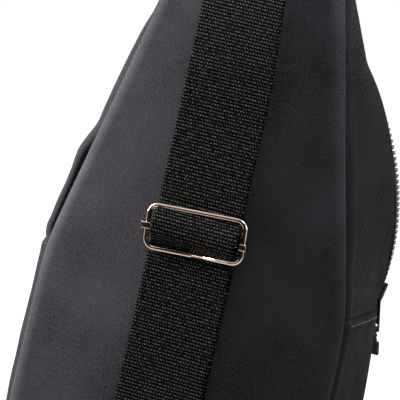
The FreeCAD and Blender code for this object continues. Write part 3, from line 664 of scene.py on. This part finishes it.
def tape_strip(name, profile, first, last):
    """A strip of tape that follows the arch, given its section as inset and outward pairs."""
    rows, uvs = [], []
    for run in np.linspace(first, last, 260):
        row, marks = [], []
        across = 0.0
        for k, (inset, out) in enumerate(profile):
            u, w, turn = zip_run(run, inset)
            row.append(zip_place(u, w, out))
            if k:
                across += math.hypot(inset - profile[k - 1][0], out - profile[k - 1][1])
            marks.append((across, run))
        rows.append(row)
        uvs.append(marks)
    piece = grid_piece(name, rows, uvs)
    return thickened(piece, TAPE)


# The outer tape's section curves up from its seam to the teeth, and the inner one lies flat.
outer_profile = [(-0.9 * mm, -6.4 * mm), (-0.5 * mm, -5.6 * mm), (-0.1 * mm, -4.2 * mm),
                 (0.1 * mm, -2.6 * mm), (0.2 * mm, -1.2 * mm), (0.5 * mm, -0.4 * mm),
                 (1.2 * mm, -0.1 * mm)]
outer_tape = tape_strip("zip_tape_side", outer_profile, 0.0, ZIP_LENGTH)
dress(outer_tape, tape_weave, "bag", ["zip_tape_outer"])

fold_run = SIDE_RADIUS * (math.asin(FLAP_FOOT / SIDE_RADIUS) - FOOT_TURN)
inner_profile = [(3.6 * mm, -0.6 * mm), (5.0 * mm, -0.7 * mm), (8.0 * mm, -0.8 * mm),
                 (10.8 * mm, -0.9 * mm)]
inner_tape = tape_strip("zip_tape_flap", inner_profile, fold_run, ZIP_LENGTH - fold_run)
dress(inner_tape, tape_weave, "flap", ["zip_tape_inner"])
end_profile = inner_profile[:2] + [(8.3 * mm, -0.8 * mm)]
tape_feet = (("zip_tape_foot_right", 0.0, fold_run, ["zip_tape_ends"]),
             ("zip_tape_foot_left", ZIP_LENGTH - fold_run, ZIP_LENGTH, []))
for name, first, last, nodes in tape_feet:
    dress(tape_strip(name, end_profile, first, last), tape_weave, "bag", nodes)


def smooth_finish(name, dark, light, mark, detail=2.0, **surface):
    """A moulded, cast or plated finish: its shade changes from mark to mark, and no weave."""
    material, tree, shader = new_material(name)
    place = add_node(tree, "ShaderNodeTexCoord").outputs["Object"]
    marks = add_node(tree, "ShaderNodeTexNoise", {"Scale": 1 / mark, "Detail": detail},
                     Vector=place)
    ramp = add_node(tree, "ShaderNodeValToRGB", _0=marks.outputs["Fac"])
    ramp.color_ramp.elements[0].color = linear(dark)
    ramp.color_ramp.elements[1].color = linear(light)
    tree.links.new(ramp.outputs[0], shader.inputs["Base Color"])
    for setting, value in surface.items():
        shader.inputs[setting.replace("_", " ")].default_value = value
    return material


# Moulded acetal: nearly black, with the soft gloss of the mould.
acetal = smooth_finish("moulded_acetal", "0d0d0e", "242426", 3.846 * mm, 3.0, Roughness=0.34,
                       Coat_Weight=0.7, Coat_Roughness=0.15)

PITCH = 2.6 * mm
ROW_GAP = 4.6 * mm
PARK_END = 10.0 * mm
LAST_TOOTH = ZIP_LENGTH - 3 * mm
ZIP_OUT = Vector((0.0, math.cos(LEAN), math.sin(LEAN)))


def tooth_shape():
    """One tooth: a clamp round the tape's bead, a neck and a broad rounded head.

    Each section is its reach from the tape, its half width and its half height.
    """
    sections = [(0.0, 0.95, 1.3), (0.8, 1.0, 1.5), (1.7, 0.5, 1.2), (2.4, 0.62, 1.1),
                (3.1, 0.6, 0.9), (3.4, 0.3, 0.5)]
    sides = 8
    corner = 1.05 * mm
    points, faces = [], []
    for reach, wide, high in sections:
        for turn in range(sides):
            angle = 2 * math.pi * (turn + 0.5) / sides
            points.append(Vector((reach * mm, wide * corner * math.cos(angle),
                                  high * corner * math.sin(angle))))
    for j in range(len(sections) - 1):
        for i in range(sides):
            k = (i + 1) % sides
            faces.append((j * sides + i, j * sides + k, (j + 1) * sides + k,
                          (j + 1) * sides + i))
    faces.append(tuple(range(sides - 1, -1, -1)))
    last = (len(sections) - 1) * sides
    faces.append(tuple(range(last, last + sides)))
    return closed_outwards(mesh_piece("tooth", points, faces))


def set_along(name, stations, shape, material):
    """Set a copy of a shape at each station of place and three directions, with Geometry Nodes."""
    marks = mesh_piece(name, [place for place, _ in stations], [])
    turns = marks.data.attributes.new("turn", "FLOAT_VECTOR", "POINT")
    for i, (_, axes) in enumerate(stations):
        turns.data[i].vector = Matrix(axes).transposed().to_euler()
    tree = bpy.data.node_groups.new(name + "_set", "GeometryNodeTree")
    tree.interface.new_socket("Geometry", in_out="INPUT", socket_type="NodeSocketGeometry")
    size = tree.interface.new_socket("Size", in_out="INPUT", socket_type="NodeSocketFloat")
    tree.interface.new_socket("Geometry", in_out="OUTPUT", socket_type="NodeSocketGeometry")
    start = tree.nodes.new("NodeGroupInput")
    end = tree.nodes.new("NodeGroupOutput")
    source = add_node(tree, "GeometryNodeObjectInfo")
    source.inputs["Object"].default_value = shape
    turn = add_node(tree, "GeometryNodeInputNamedAttribute", {"data_type": "FLOAT_VECTOR"})
    turn.inputs["Name"].default_value = "turn"
    spin = add_node(tree, "FunctionNodeEulerToRotation", _0=turn.outputs["Attribute"])
    copies = add_node(tree, "GeometryNodeInstanceOnPoints", Points=start.outputs["Geometry"],
                      Instance=source.outputs["Geometry"], Rotation=spin.outputs[0],
                      Scale=start.outputs["Size"])
    real = add_node(tree, "GeometryNodeRealizeInstances", Geometry=copies.outputs[0])
    coated = add_node(tree, "GeometryNodeSetMaterial", Geometry=real.outputs[0])
    coated.inputs["Material"].default_value = material
    tree.links.new(coated.outputs[0], end.inputs[0])
    modifier = marks.modifiers.new("copies", "NODES")
    modifier.node_group = tree
    modifier[size.identifier] = 1.0
    return baked(marks)


def tooth_stations(first, last, inset, inwards):
    """Places of the teeth of one row between two runs along the arch."""
    stations = []
    run = first
    while run < last:
        u, w, turn = zip_run(run, inset)
        reach = zip_place(-math.cos(turn), -math.sin(turn), 0) - zip_place(0, 0, 0)
        if not inwards:
            reach = -reach
        side = ZIP_OUT.cross(reach).normalized()
        stations.append((zip_place(u, w, 0.0), (reach, side, ZIP_OUT)))
        run += PITCH
    return stations


# The two rows mesh half a pitch apart. The inner row rides on the flap above the fold, and stays
# on the bag at its two feet.
tooth = tooth_shape()
first_inner = PARK_END + PITCH / 2
clear = fold_run + 1.0 * mm
steps = math.ceil((clear - first_inner) / PITCH)
side_row = tooth_stations(PARK_END, LAST_TOOTH, 0.0, True)
flap_row = tooth_stations(first_inner + steps * PITCH, ZIP_LENGTH - clear, ROW_GAP, False)
foot_rows = tooth_stations(first_inner, clear, ROW_GAP, False)
foot_rows += tooth_stations(ZIP_LENGTH - fold_run + 0.4 * mm, LAST_TOOTH, ROW_GAP, False)
for name, row, body, nodes in (("teeth_side", side_row, "bag", ["zip_teeth_outer"]),
                               ("teeth_flap", flap_row, "flap", ["zip_teeth_inner"]),
                               ("teeth_foot", foot_rows, "bag", ["zip_teeth_ends"])):
    dress(set_along(name, row, tooth, acetal), acetal, body, nodes)
bpy.data.objects.remove(tooth)
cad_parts["zip_stops"].data.materials.clear()
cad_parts["zip_stops"].data.materials.append(acetal)


# ---------------------------------------------------------------- zip slider, pull and grip
# The slider and its strip are cast zinc under black lacquer. A loop of cord with two knots hangs
# from the strip and ends in a moulded grip.

# Black lacquer over cast zinc: a dull gloss that breaks up where the casting is uneven.
lacquer = smooth_finish("black_lacquered_zinc", "0c0c0d", "2a292a", 2.381 * mm, 4.0,
                        Roughness=0.38, Coat_Weight=0.3)


def softened_copy(node, name, grain, passes=6):
    """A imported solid's form with its edges rounded, more with more passes, as castings are."""
    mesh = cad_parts[node].data.copy()
    mesh.materials.clear()
    cleaner = bmesh.new()
    cleaner.from_mesh(mesh)
    bmesh.ops.remove_doubles(cleaner, verts=cleaner.verts, dist=0.01 * mm)
    cleaner.to_mesh(mesh)
    cleaner.free()
    piece = as_piece(name, mesh)
    skin = piece.modifiers.new("skin", "REMESH")
    skin.mode = "VOXEL"
    skin.voxel_size = grain
    skin.use_smooth_shade = True
    ease = piece.modifiers.new("ease", "SMOOTH")
    ease.factor = 0.5
    ease.iterations = passes
    return baked(piece)


slider = softened_copy("zip_slider", "slider_body", 0.32 * mm, 90)
dress(slider, lacquer, "zip_slider", ["zip_slider"])

# The strip and its cord hang a little outwards from the slider's bridge.
HANG_SLOPE = 0.09
HANG_Z = 107 * mm
hang = Matrix.Identity(4)
hang[0][2] = -HANG_SLOPE
hang[0][3] = HANG_SLOPE * HANG_Z
pull = softened_copy("pull_plate", "pull_strip", 0.2 * mm)
pull.data.transform(hang)
dress(pull, lacquer, "zip_pull", ["pull_plate"])

# Braided cord and a grip moulded with a fine grain: small cells, dark between them, cover both.
GRAIN = 0.667 * mm
grip_rubber, grip_tree, grip_shader = new_material("cord_and_grip")
grip_place = add_node(grip_tree, "ShaderNodeTexCoord").outputs["Object"]
grip_weave = add_node(grip_tree, "ShaderNodeTexVoronoi", {"Scale": 1 / GRAIN}, Vector=grip_place)
grip_cells = grip_weave.outputs["Distance"]
woven_look(grip_tree, grip_shader, grip_cells, grip_cells, ("1f1e1f", "0b0b0c"), (0.0, 1.0),
           0.6, 0.15 * mm, 0.6)
grip = softened_copy("pull_grip", "knotted_grip", 0.17 * mm)
grip.data.transform(hang)
dress(grip, grip_rubber, "pull_grip", ["pull_grip"])


# ---------------------------------------------------------------- strap
# One length of 38 mm ribbed polypropylene webbing, drawn in half a millimetre as it lies. It is
# sewn to the top, arches over the shoulder, runs down the back with a slight twist, goes round the
# ring and comes back up under itself to the centre bar of the buckle.

WIDTH = 37.5 * mm
LAYER = 1.2 * mm
ROW = 1.42 * mm
FLOAT = 1.3 * mm
DRIFT = 1.6 * mm
DRIFT_SIZE = 3.846 * mm
SLUB_SIZE = 1.429 * mm


def ribbed_webbing(name):
    """Coarse black webbing: rows of short floats, with a painted highlight on their tops and
    painted shade in the gaps between them.

    Each row is set half a float along from the last, and the floats wander and vary as yarn does.
    """
    material, tree, shader = new_material(name)
    uv = add_node(tree, "ShaderNodeUVMap").outputs[0]
    split = add_node(tree, "ShaderNodeSeparateXYZ", _0=uv)
    row_turn = add_node(tree, "ShaderNodeMath", {"operation": "MULTIPLY", 1: math.pi / ROW},
                        _0=split.outputs[1])
    row_wave = add_node(tree, "ShaderNodeMath", {"operation": "SINE"}, _0=row_turn.outputs[0])
    row_size = add_node(tree, "ShaderNodeMath", {"operation": "ABSOLUTE"}, _0=row_wave.outputs[0])
    row_top = add_node(tree, "ShaderNodeMath", {"operation": "POWER", 1: 1.6},
                       _0=row_size.outputs[0])
    row_side = add_node(tree, "ShaderNodeMath", {"operation": "SIGN"}, _0=row_wave.outputs[0])
    offset = add_node(tree, "ShaderNodeMath", {"operation": "MULTIPLY_ADD", 1: FLOAT / 4},
                      _0=row_side.outputs[0], _2=split.outputs[0])
    wobble = add_node(tree, "ShaderNodeTexNoise", {"Scale": 1 / DRIFT_SIZE, "Detail": 1.0},
                      Vector=uv)
    along = add_node(tree, "ShaderNodeMath", {"operation": "MULTIPLY_ADD", 1: DRIFT},
                     _0=wobble.outputs["Fac"], _2=offset.outputs[0])
    float_turn = add_node(tree, "ShaderNodeMath", {"operation": "MULTIPLY", 1: math.pi / FLOAT},
                          _0=along.outputs[0])
    float_wave = add_node(tree, "ShaderNodeMath", {"operation": "SINE"}, _0=float_turn.outputs[0])
    float_size = add_node(tree, "ShaderNodeMath", {"operation": "ABSOLUTE"},
                          _0=float_wave.outputs[0])
    float_top = add_node(tree, "ShaderNodeMath", {"operation": "POWER", 1: 0.55},
                         _0=float_size.outputs[0])
    height = add_node(tree, "ShaderNodeMath", {"operation": "MULTIPLY"},
                      _0=row_top.outputs[0], _1=float_top.outputs[0]).outputs[0]
    slub = add_node(tree, "ShaderNodeTexNoise", {"Scale": 1 / SLUB_SIZE, "Detail": 2.0},
                    Vector=uv)
    yarn = add_node(tree, "ShaderNodeMath", {"operation": "MULTIPLY", 1: 1.7},
                    _0=slub.outputs["Fac"])
    # The colour follows the floats' height: a painted highlight on their tops and painted shade
    # between them, varied by the yarn's slubs.
    thread = add_node(tree, "ShaderNodeMath", {"operation": "MULTIPLY"},
                      _0=height, _1=yarn.outputs[0]).outputs[0]
    woven_look(tree, shader, thread, height, ("040404", "53504d"), (0.4, 0.95),
               0.7, 0.35 * mm, 0.6)
    shader.inputs["Specular IOR Level"].default_value = 0.01
    return material


webbing = ribbed_webbing("polypropylene_webbing")


def smooth_path(points, step):
    """Points evenly spaced along a smooth curve through the given depth and height pairs."""
    curve = bpy.data.curves.new("path", "CURVE")
    curve.dimensions = "3D"
    spline = curve.splines.new("NURBS")
    spline.points.add(len(points) - 1)
    for mark, (y, z) in zip(spline.points, points):
        mark.co = (0.0, y, z, 1.0)
    spline.order_u = 3
    spline.use_endpoint_u = True
    spline.resolution_u = 24
    holder = bpy.data.objects.new("path", curve)
    scene.collection.objects.link(holder)
    mesh = bpy.data.meshes.new_from_object(
        holder.evaluated_get(bpy.context.evaluated_depsgraph_get()))
    dense = np.array([v.co[:] for v in mesh.vertices])
    bpy.data.objects.remove(holder)
    lengths = np.concatenate([[0.0], np.cumsum(np.linalg.norm(np.diff(dense, axis=0), axis=1))])
    wanted = np.arange(0.0, lengths[-1], step)
    return [(np.interp(s, lengths, dense[:, 1]), np.interp(s, lengths, dense[:, 2]), s)
            for s in wanted]


# Heights where the strap's twist and its sideways drift are set. Neither changes from 58 mm to
# 188 mm, so that the buckle slides there without touching.
STRAP_HEIGHTS = [24, 40, 58, 188, 225, 262, 300]
STRAP_TWISTS = [0, -1, -4.5, -4.5, -14, -8, 0]
STRAP_DRIFTS = [0, -0.4, -0.8, -0.8, -1.7, -1.2, 0]


def twist_at(z):
    """Turn of the strap about its length, in radians, at a height."""
    return math.radians(float(np.interp(z / mm, STRAP_HEIGHTS, STRAP_TWISTS)))


def drift_at(z):
    """Sideways drift of the strap's middle at a height."""
    return float(np.interp(z / mm, STRAP_HEIGHTS, STRAP_DRIFTS)) * mm


def webbing_strip(name, path, start=0.0, twisted=True, width=WIDTH, shift=0.0):
    """A strap along a path in millimetres, with its woven edges and a UV in metres for its ribs."""
    rows, uvs = [], []
    places = smooth_path([(y * mm, z * mm) for y, z in path], ROW / 2)
    for j, (y, z, s) in enumerate(places):
        before, after = places[max(j - 1, 0)], places[min(j + 1, len(places) - 1)]
        along = Vector((0.0, after[0] - before[0], after[1] - before[1])).normalized()
        turn = twist_at(z) if twisted else 0.0
        across = Vector((math.cos(turn), math.sin(turn), 0.0))
        normal = across.cross(along).normalized()
        middle = Vector((shift + (drift_at(z) if twisted else 0.0), y, z))
        nub = 0.22 * mm * (1 if j % 2 else -0.4)
        half = width / 2 + nub
        row, marks = [], []
        for share in levels(-1.0, 1.0, 23, 0.3):
            cup = 0.25 * mm * share ** 2
            row.append(middle + across * half * share - normal * cup)
            marks.append((share * width / 2 + width / 2, s + start))
        rows.append(row)
        uvs.append(marks)
    piece = grid_piece(name, rows, uvs)
    wall = piece.modifiers.new("wall", "SOLIDIFY")
    wall.thickness = LAYER
    wall.offset = 0.0
    ease = piece.modifiers.new("ease", "BEVEL")
    ease.width = 0.3 * mm
    ease.segments = 2
    ease.limit_method = "ANGLE"
    ease.angle_limit = math.radians(60)
    return baked(piece)


# Each path is the webbing's middle line, as depth and height in millimetres. The first goes up
# from the back, over the shoulder and down to the top of the bag.
loop_path = [(-37.2, 236), (-37.4, 250), (-38.6, 266), (-45, 296), (-54, 330), (-57.0, 352),
             (-53, 371), (-38, 378.4), (-22, 377), (-6.0, 368), (-3.5, 350), (-6, 332),
             (-15, 312), (-19, 302), (-19, 291.6)]
upper_strap = webbing_strip("strap_over_shoulder", loop_path)
dress(upper_strap, webbing, "bag", ["strap_upper"])

# Down the back, round the ring's lower wire and a little way up again.
run_path = [(-37.2, 238), (-37.4, 225), (-36.2, 205), (-35.3, 188), (-35.2, 150), (-35.2, 110),
            (-35.2, 75), (-35.4, 58), (-36.2, 47), (-37.0, 40),
            (-37.2, 34.2), (-34.5, 32.9), (-31.9, 34.2), (-32.3, 40), (-33.0, 47)]
run_strap = webbing_strip("strap_down_back", run_path, 0.11)
dress(run_strap, webbing, "bag", ["strap_run"])
# The doubled run, from the ring up under the strap to the buckle.
under_path = [(-33.0, 47), (-33.4, 60), (-33.5, 90), (-33.5, 110), (-33.6, 122), (-33.6, 128)]
under_strap = webbing_strip("strap_under_layer", under_path, 0.3)
dress(under_strap, webbing, "bag", ["strap_return"])


# ---------------------------------------------------------------- buckle, its bar and the ring
# The slider buckle is one bent length of 2.2 mm steel wire, plated a warm rose gold, its ends
# butted in the middle of the lower side. A straight bar crosses it, its ends wrapped round the
# side wires as small square lugs. The ring at the foot is bent from the same wire.

# Rose gold plate over polished steel: a bright mirror, a little duller where it is handled.
plated = smooth_finish("rose_gold_plate", "d2aa96", "ecd2c4", 3.125 * mm, 5.0, Metallic=1.0)
plated_tree = plated.node_tree
plated_wear = add_node(plated_tree, "ShaderNodeMapRange",
                       {"From Min": 0.3, "From Max": 0.7, "To Min": 0.07, "To Max": 0.11},
                       _0=plated_tree.nodes["Noise Texture"].outputs["Fac"])
plated_tree.links.new(plated_wear.outputs[0],
                      plated_tree.nodes["Principled BSDF"].inputs["Roughness"])

WIRE = 2.2 * mm
BUCKLE_WIDTH = 45 * mm
BUCKLE_X = -0.3 * mm
BUCKLE_Y = -37.6 * mm
BUCKLE_Z = 123.6 * mm
LUG = 4.1 * mm
LUG_DEPTH = 2.8 * mm


def bent_wire(name, width, height, corner, gap):
    """A rounded rectangle of round wire whose ends meet in the middle of its lower side."""
    half_x, half_z, bend = (width - WIRE) / 2, (height - WIRE) / 2, corner - WIRE / 2
    route = [(gap / 2, -half_z)]
    corners = [((half_x - bend, bend - half_z), -90), ((half_x - bend, half_z - bend), 0),
               ((bend - half_x, half_z - bend), 90), ((bend - half_x, bend - half_z), 180)]
    for (x, z), first in corners:
        for k in range(13):
            angle = math.radians(first + 7.5 * k)
            route.append((x + bend * math.cos(angle), z + bend * math.sin(angle)))
    route.append((-gap / 2, -half_z))
    rows = []
    for k, (x, z) in enumerate(route):
        a, b = route[max(k - 1, 0)], route[min(k + 1, len(route) - 1)]
        along = Vector((b[0] - a[0], 0.0, b[1] - a[1])).normalized()
        side = along.cross(Vector((0, 1, 0)))
        ring = []
        for turn in range(20):
            angle = 2 * math.pi * turn / 20
            ring.append(Vector((x, 0, z)) + (side * math.cos(angle)
                                            + Vector((0, math.sin(angle), 0))) * WIRE / 2)
        rows.append(ring)
    return closed_outwards(grid_piece(name, rows, closed=True), fill_ends=True)


def set_place(piece, place, tilt, yaw):
    """Put a finished shape in its place, in its own mesh."""
    turn = Matrix.Rotation(yaw, 4, "Z") @ Matrix.Rotation(tilt, 4, "Y")
    piece.data.transform(Matrix.Translation(place) @ turn)
    return piece


buckle_place = Vector((BUCKLE_X, BUCKLE_Y, BUCKLE_Z))
BUCKLE_TILT = math.radians(-4.2)
BUCKLE_YAW = math.radians(-4.5)
buckle = bent_wire("buckle_wire", BUCKLE_WIDTH, 20 * mm, 5 * mm, 0.25 * mm)
set_place(buckle, buckle_place, BUCKLE_TILT, BUCKLE_YAW)
dress(buckle, plated, "strap_buckle", ["buckle_frame"])


def bar_and_lugs():
    """The centre bar with a square lug wrapped round each side wire."""
    shape = bmesh.new()
    side = (BUCKLE_WIDTH - WIRE) / 2
    bmesh.ops.create_cone(shape, cap_ends=True, segments=20, radius1=1 * mm, radius2=1 * mm,
                          depth=2 * side, matrix=Matrix.Rotation(math.pi / 2, 4, "Y"))
    for hand in (1, -1):
        size = Matrix.Diagonal((LUG, LUG, LUG_DEPTH, 1.0))
        made = bmesh.ops.create_cube(shape, size=1.0,
                                     matrix=Matrix.Translation((hand * side, 0, 0)) @ size)
        edges = {edge for vert in made["verts"] for edge in vert.link_edges}
        bmesh.ops.bevel(shape, geom=list(edges), offset=0.45 * mm, segments=3, profile=0.6,
                        affect="EDGES")
    mesh = bpy.data.meshes.new("buckle_bar_lugs")
    shape.to_mesh(mesh)
    shape.free()
    return as_piece("buckle_bar_lugs", mesh)


BAR_SAG = 0.8 * mm
RING_Y = -34.5 * mm
RING_Z = 30 * mm
bar = set_place(bar_and_lugs(), buckle_place - Vector((0, 0, BAR_SAG)),
                BUCKLE_TILT + math.atan2(BAR_SAG, 22 * mm), BUCKLE_YAW)
dress(bar, plated, "buckle_bar", ["buckle_bar"])
ring = bent_wire("foot_ring", BUCKLE_WIDTH, 16 * mm, 3.2 * mm, 0.2 * mm)
set_place(ring, Vector((0.0, RING_Y, RING_Z)), 0.0, 0.0)
dress(ring, plated, "strap_ring", ["strap_ring"])

# The webbing over the centre bar: it comes out from behind the upper side of the buckle, lies
# over the bar and goes in behind the lower side, and slides along the strap with the buckle.
wave_path = [(-35.9, 135), (-36.2, 133.5), (-36.6, 132.0), (-38.6, 130.0), (-40.7, 127.4),
             (-41.5, 124.2), (-41.5, 120.8), (-38.9, 118.1), (-36.4, 116.4), (-36.0, 114.4),
             (-35.9, 112)]
wave = webbing_strip("strap_over_bar", wave_path, 0.2, width=37.6 * mm, shift=0.9 * mm)
dress(wave, webbing, "strap_buckle")

# A short tab of the same webbing holds the ring to the foot of the back, and a patch covers the
# strap's end on the top.
tab_path = [(-32.4, 8.5), (-32.5, 16), (-32.6, 19), (-32.2, 22), (-32.6, 25.6), (-34.5, 26.4),
            (-36.6, 25.6), (-36.9, 22), (-34.6, 19), (-33.9, 16), (-33.8, 8.5)]
tab = webbing_strip("ring_tab", tab_path, 0.5, twisted=False)
dress(tab, webbing, "bag", ["anchor_tab"])
PATCH_HALF = 21 * mm
PATCH_BACK = -23.5 * mm
PATCH_FRONT = -14.5 * mm
patch_rows = []
for y in levels(PATCH_BACK, PATCH_FRONT, 12, 0.7):
    row = []
    for x in levels(-PATCH_HALF, PATCH_HALF, 30, 0.7):
        rim = min(PATCH_HALF - abs(x), y - PATCH_BACK, PATCH_FRONT - y)
        row.append(Vector((x, y, HEIGHT + 1.3 * mm * rolled(rim + 0.2 * mm, 1.5 * mm))))
    patch_rows.append(row)
patch_uv = [[(p.x, p.y) for p in row] for row in patch_rows]
patch = face_outwards(grid_piece("top_patch", patch_rows, patch_uv), (0, 0, 1))
thickened(patch, 0.8 * mm)
dress(patch, webbing, "bag", ["top_anchor_patch"])


# ---------------------------------------------------------------- stitching
# Lockstitch in bonded black thread, 3 mm long, beside the cross seams, round the zip's tape and
# across the tab. Each stitch is a short bead of thread sunk a little at its ends.

# Bonded nylon thread: black, with the faint gloss of its coating.
thread_finish = smooth_finish("bonded_thread", "0a0a0b", "1c1b1e", 0.556 * mm, Roughness=0.5)

STITCH = 3.0 * mm


def stitch_shape():
    """One stitch: a six-sided bead of thread, thin and sunk at both ends."""
    sections = [(-1.15, 0.08, -0.25), (-0.8, 0.2, 0.02), (0.0, 0.24, 0.1), (0.8, 0.2, 0.02),
                (1.15, 0.08, -0.25)]
    rows = []
    for along, radius, lift in sections:
        rows.append([Vector((along * mm, radius * mm * math.cos(math.pi / 3 * k),
                             lift * mm + radius * mm * math.sin(math.pi / 3 * k)))
                     for k in range(6)])
    return grid_piece("stitch", rows, closed=True)


def stitch_line(name, places, normals, body):
    """A row of stitches along a line that lies on a surface."""
    lengths = [0.0]
    for a, b in zip(places, places[1:]):
        lengths.append(lengths[-1] + (b - a).length)
    stations = []
    run = STITCH / 2
    while run < lengths[-1]:
        k = max(i for i, length in enumerate(lengths[:-1]) if length <= run)
        share = (run - lengths[k]) / max(lengths[k + 1] - lengths[k], 1e-9)
        along = (places[k + 1] - places[k]).normalized()
        normal = normals[k]
        side = normal.cross(along).normalized()
        stations.append((places[k].lerp(places[k + 1], share), (along, side, along.cross(side))))
        run += STITCH
    row = set_along(name, stations, stitch, thread_finish)
    return dress(row, thread_finish, body)


def band_line(z, lift):
    """A line across the side band at a height, on each side of the bag, with its normals.

    The turned-in edge and the points next to the two seams are left out.
    """
    first, last = 5, -2
    lines = []
    for hand in (1, -1):
        near = min((k for k in range(len(band_rows) - 1) if band_rows[k][0].x * hand > 0),
                   key=lambda k: abs(band_rows[k][0].z - z))
        out = Vector((hand, 0, 0))
        line = [p + out * lift for p in band_rows[near][first:last]]
        lines.append((line, [out] * len(line)))
    return lines


stitch = stitch_shape()
for k, (places, normals) in enumerate(band_line(CROSS_SEAM - 3 * mm, 0.05 * mm)):
    stitch_line(f"cross_stitch_{k}", places, normals, "bag")
arch_line = []
for run in np.linspace(fold_run + 3 * mm, ZIP_LENGTH - fold_run - 3 * mm, 200):
    u, w, _ = zip_run(run, FLAP_INSET + 3.5 * mm)
    arch_line.append(zip_place(u, w, 1.75 * mm))
stitch_line("flap_stitch", arch_line, [ZIP_OUT] * len(arch_line), "flap")
TAB_FACE = -34.5 * mm
for k, z in enumerate((10.5 * mm, 15.5 * mm)):
    line = [Vector((x, TAB_FACE, z)) for x in np.linspace(-16 * mm, 16 * mm, 12)]
    stitch_line(f"tab_stitch_{k}", line, [Vector((0, -1, 0))] * len(line), "bag")
bpy.data.objects.remove(stitch)


# ---------------------------------------------------------------- table, light and camera
# The bag stands on a pale floor in a white room. One soft light on the left does most of the work,
# two weak ones fill the right and the top, and a large one lights the front.

WHITE = (1, 1, 1, 1)
FLOOR_HALF = 4.0
floor_rows = [[Vector((x, y, 0.0)) for x in (-FLOOR_HALF, FLOOR_HALF)]
              for y in (-FLOOR_HALF, FLOOR_HALF)]
floor = face_outwards(grid_piece("floor", floor_rows), (0, 0, 1))
floor_paint, floor_tree, floor_shader = new_material("pale_floor")
floor_shader.inputs["Base Color"].default_value = (0.3, 0.3, 0.3, 1)
floor_shader.inputs["Roughness"].default_value = 0.9
seen = add_node(floor_tree, "ShaderNodeLightPath")
chalk = add_node(floor_tree, "ShaderNodeBsdfDiffuse", {"Color": (0.9, 0.9, 0.9, 1)})
white = add_node(floor_tree, "ShaderNodeEmission", {"Color": WHITE, "Strength": 1.31})
pale = add_node(floor_tree, "ShaderNodeMixShader", {0: 0.76}, _1=chalk.outputs[0],
                _2=white.outputs[0])
pick = add_node(floor_tree, "ShaderNodeMixShader", _0=seen.outputs["Is Camera Ray"],
                _1=floor_shader.outputs[0], _2=pale.outputs[0])
# Metal sees the floor white near the bag, and dark from where the dark card's foot stands.
floor_place = add_node(floor_tree, "ShaderNodeTexCoord").outputs["Object"]
floor_depth = add_node(floor_tree, "ShaderNodeSeparateXYZ", _0=floor_place)
card_foot = add_node(floor_tree, "ShaderNodeMapRange",
                     {"From Min": -0.24, "From Max": -0.17, "To Min": 0.02, "To Max": 1.0},
                     _0=floor_depth.outputs[1])
mirrored = add_node(floor_tree, "ShaderNodeEmission", {"Color": WHITE},
                    Strength=card_foot.outputs[0])
floor_look = add_node(floor_tree, "ShaderNodeMixShader", _0=seen.outputs["Is Glossy Ray"],
                      _1=pick.outputs[0], _2=mirrored.outputs[0])
floor_tree.links.new(floor_look.outputs[0], floor_tree.nodes["Material Output"].inputs[0])
floor.data.materials.append(floor_paint)

world = bpy.data.worlds.new("studio")
scene.world = world
world.use_nodes = True
air = world.node_tree
air.nodes.clear()
path = add_node(air, "ShaderNodeLightPath")
plain = add_node(air, "ShaderNodeBackground", {"Color": WHITE, "Strength": 0.08})
bright = add_node(air, "ShaderNodeBackground", {"Color": WHITE, "Strength": 1.0})
# Metal sees white walls all round and a dark card behind the place it is mostly seen from.
direction = add_node(air, "ShaderNodeTexCoord").outputs["Generated"]
to_card = add_node(air, "ShaderNodeVectorMath", {"operation": "DOT_PRODUCT"}, _0=direction)
to_card.inputs[1].default_value = (0.28, -0.95, 0.13)
wall = add_node(air, "ShaderNodeMapRange",
                {"From Min": 0.55, "From Max": 0.74, "To Min": 1.0, "To Max": 0.02},
                _0=to_card.outputs["Value"])
reflected = add_node(air, "ShaderNodeBackground", {"Color": WHITE},
                     Strength=wall.outputs[0])
glossy = add_node(air, "ShaderNodeMixShader", _0=path.outputs["Is Glossy Ray"],
                  _1=plain.outputs[0], _2=reflected.outputs[0])
shows = add_node(air, "ShaderNodeMixShader", _0=path.outputs["Is Camera Ray"],
                 _1=glossy.outputs[0], _2=bright.outputs[0])
add_node(air, "ShaderNodeOutputWorld", _0=shows.outputs[0])


def softbox(name, place, aim, size, power):
    """A rectangular soft light at a place, turned to its aim, with its size in metres."""
    lamp = bpy.data.lights.new(name, "AREA")
    lamp.shape = "RECTANGLE"
    lamp.size, lamp.size_y = size
    lamp.energy = power
    holder = bpy.data.objects.new(name, lamp)
    scene.collection.objects.link(holder)
    holder.location = place
    holder.rotation_euler = (Vector(aim) - Vector(place)).to_track_quat("-Z", "Y").to_euler()


softbox("key_left", (-0.42, -0.112, 0.25), (-0.02, -0.03, 0.15), (0.1, 0.3), 6.7)
softbox("fill_right", (0.34, 0.01, 0.32), (0.06, 0.0, 0.2), (0.2, 0.2), 0.6)
softbox("fill_top", (0.12, -0.12, 0.42), (0.02, -0.03, 0.24), (0.16, 0.1), 0.5)
softbox("front_light", (-0.15, 1.15, 0.85), (0, 0, 0.14), (0.8, 0.8), 12)

AIM = Vector((-5.2, -25.0, 136.0)) * mm
AZIMUTH = math.radians(16.5)
RISE = math.radians(7.5)
ROLL = math.radians(12.6)
DISTANCE = 1.2
FOCAL = 261.5
away = Vector((math.cos(RISE) * math.sin(AZIMUTH), -math.cos(RISE) * math.cos(AZIMUTH),
               math.sin(RISE)))
level_right = Vector((math.cos(AZIMUTH), math.sin(AZIMUTH), 0.0))
level_up = away.cross(level_right)
cam_right = level_right * math.cos(ROLL) + level_up * math.sin(ROLL)
cam_up = level_up * math.cos(ROLL) - level_right * math.sin(ROLL)
lens = bpy.data.cameras.new("camera")
lens.sensor_width = 36.0
lens.lens = FOCAL
lens.clip_end = 20.0
camera = bpy.data.objects.new("camera", lens)
scene.collection.objects.link(camera)
camera.matrix_world = Matrix.Translation(AIM + away * DISTANCE) @ Matrix(
    (cam_right, cam_up, away)).transposed().to_4x4()
scene.camera = camera
scene.view_settings.view_transform = "Standard"
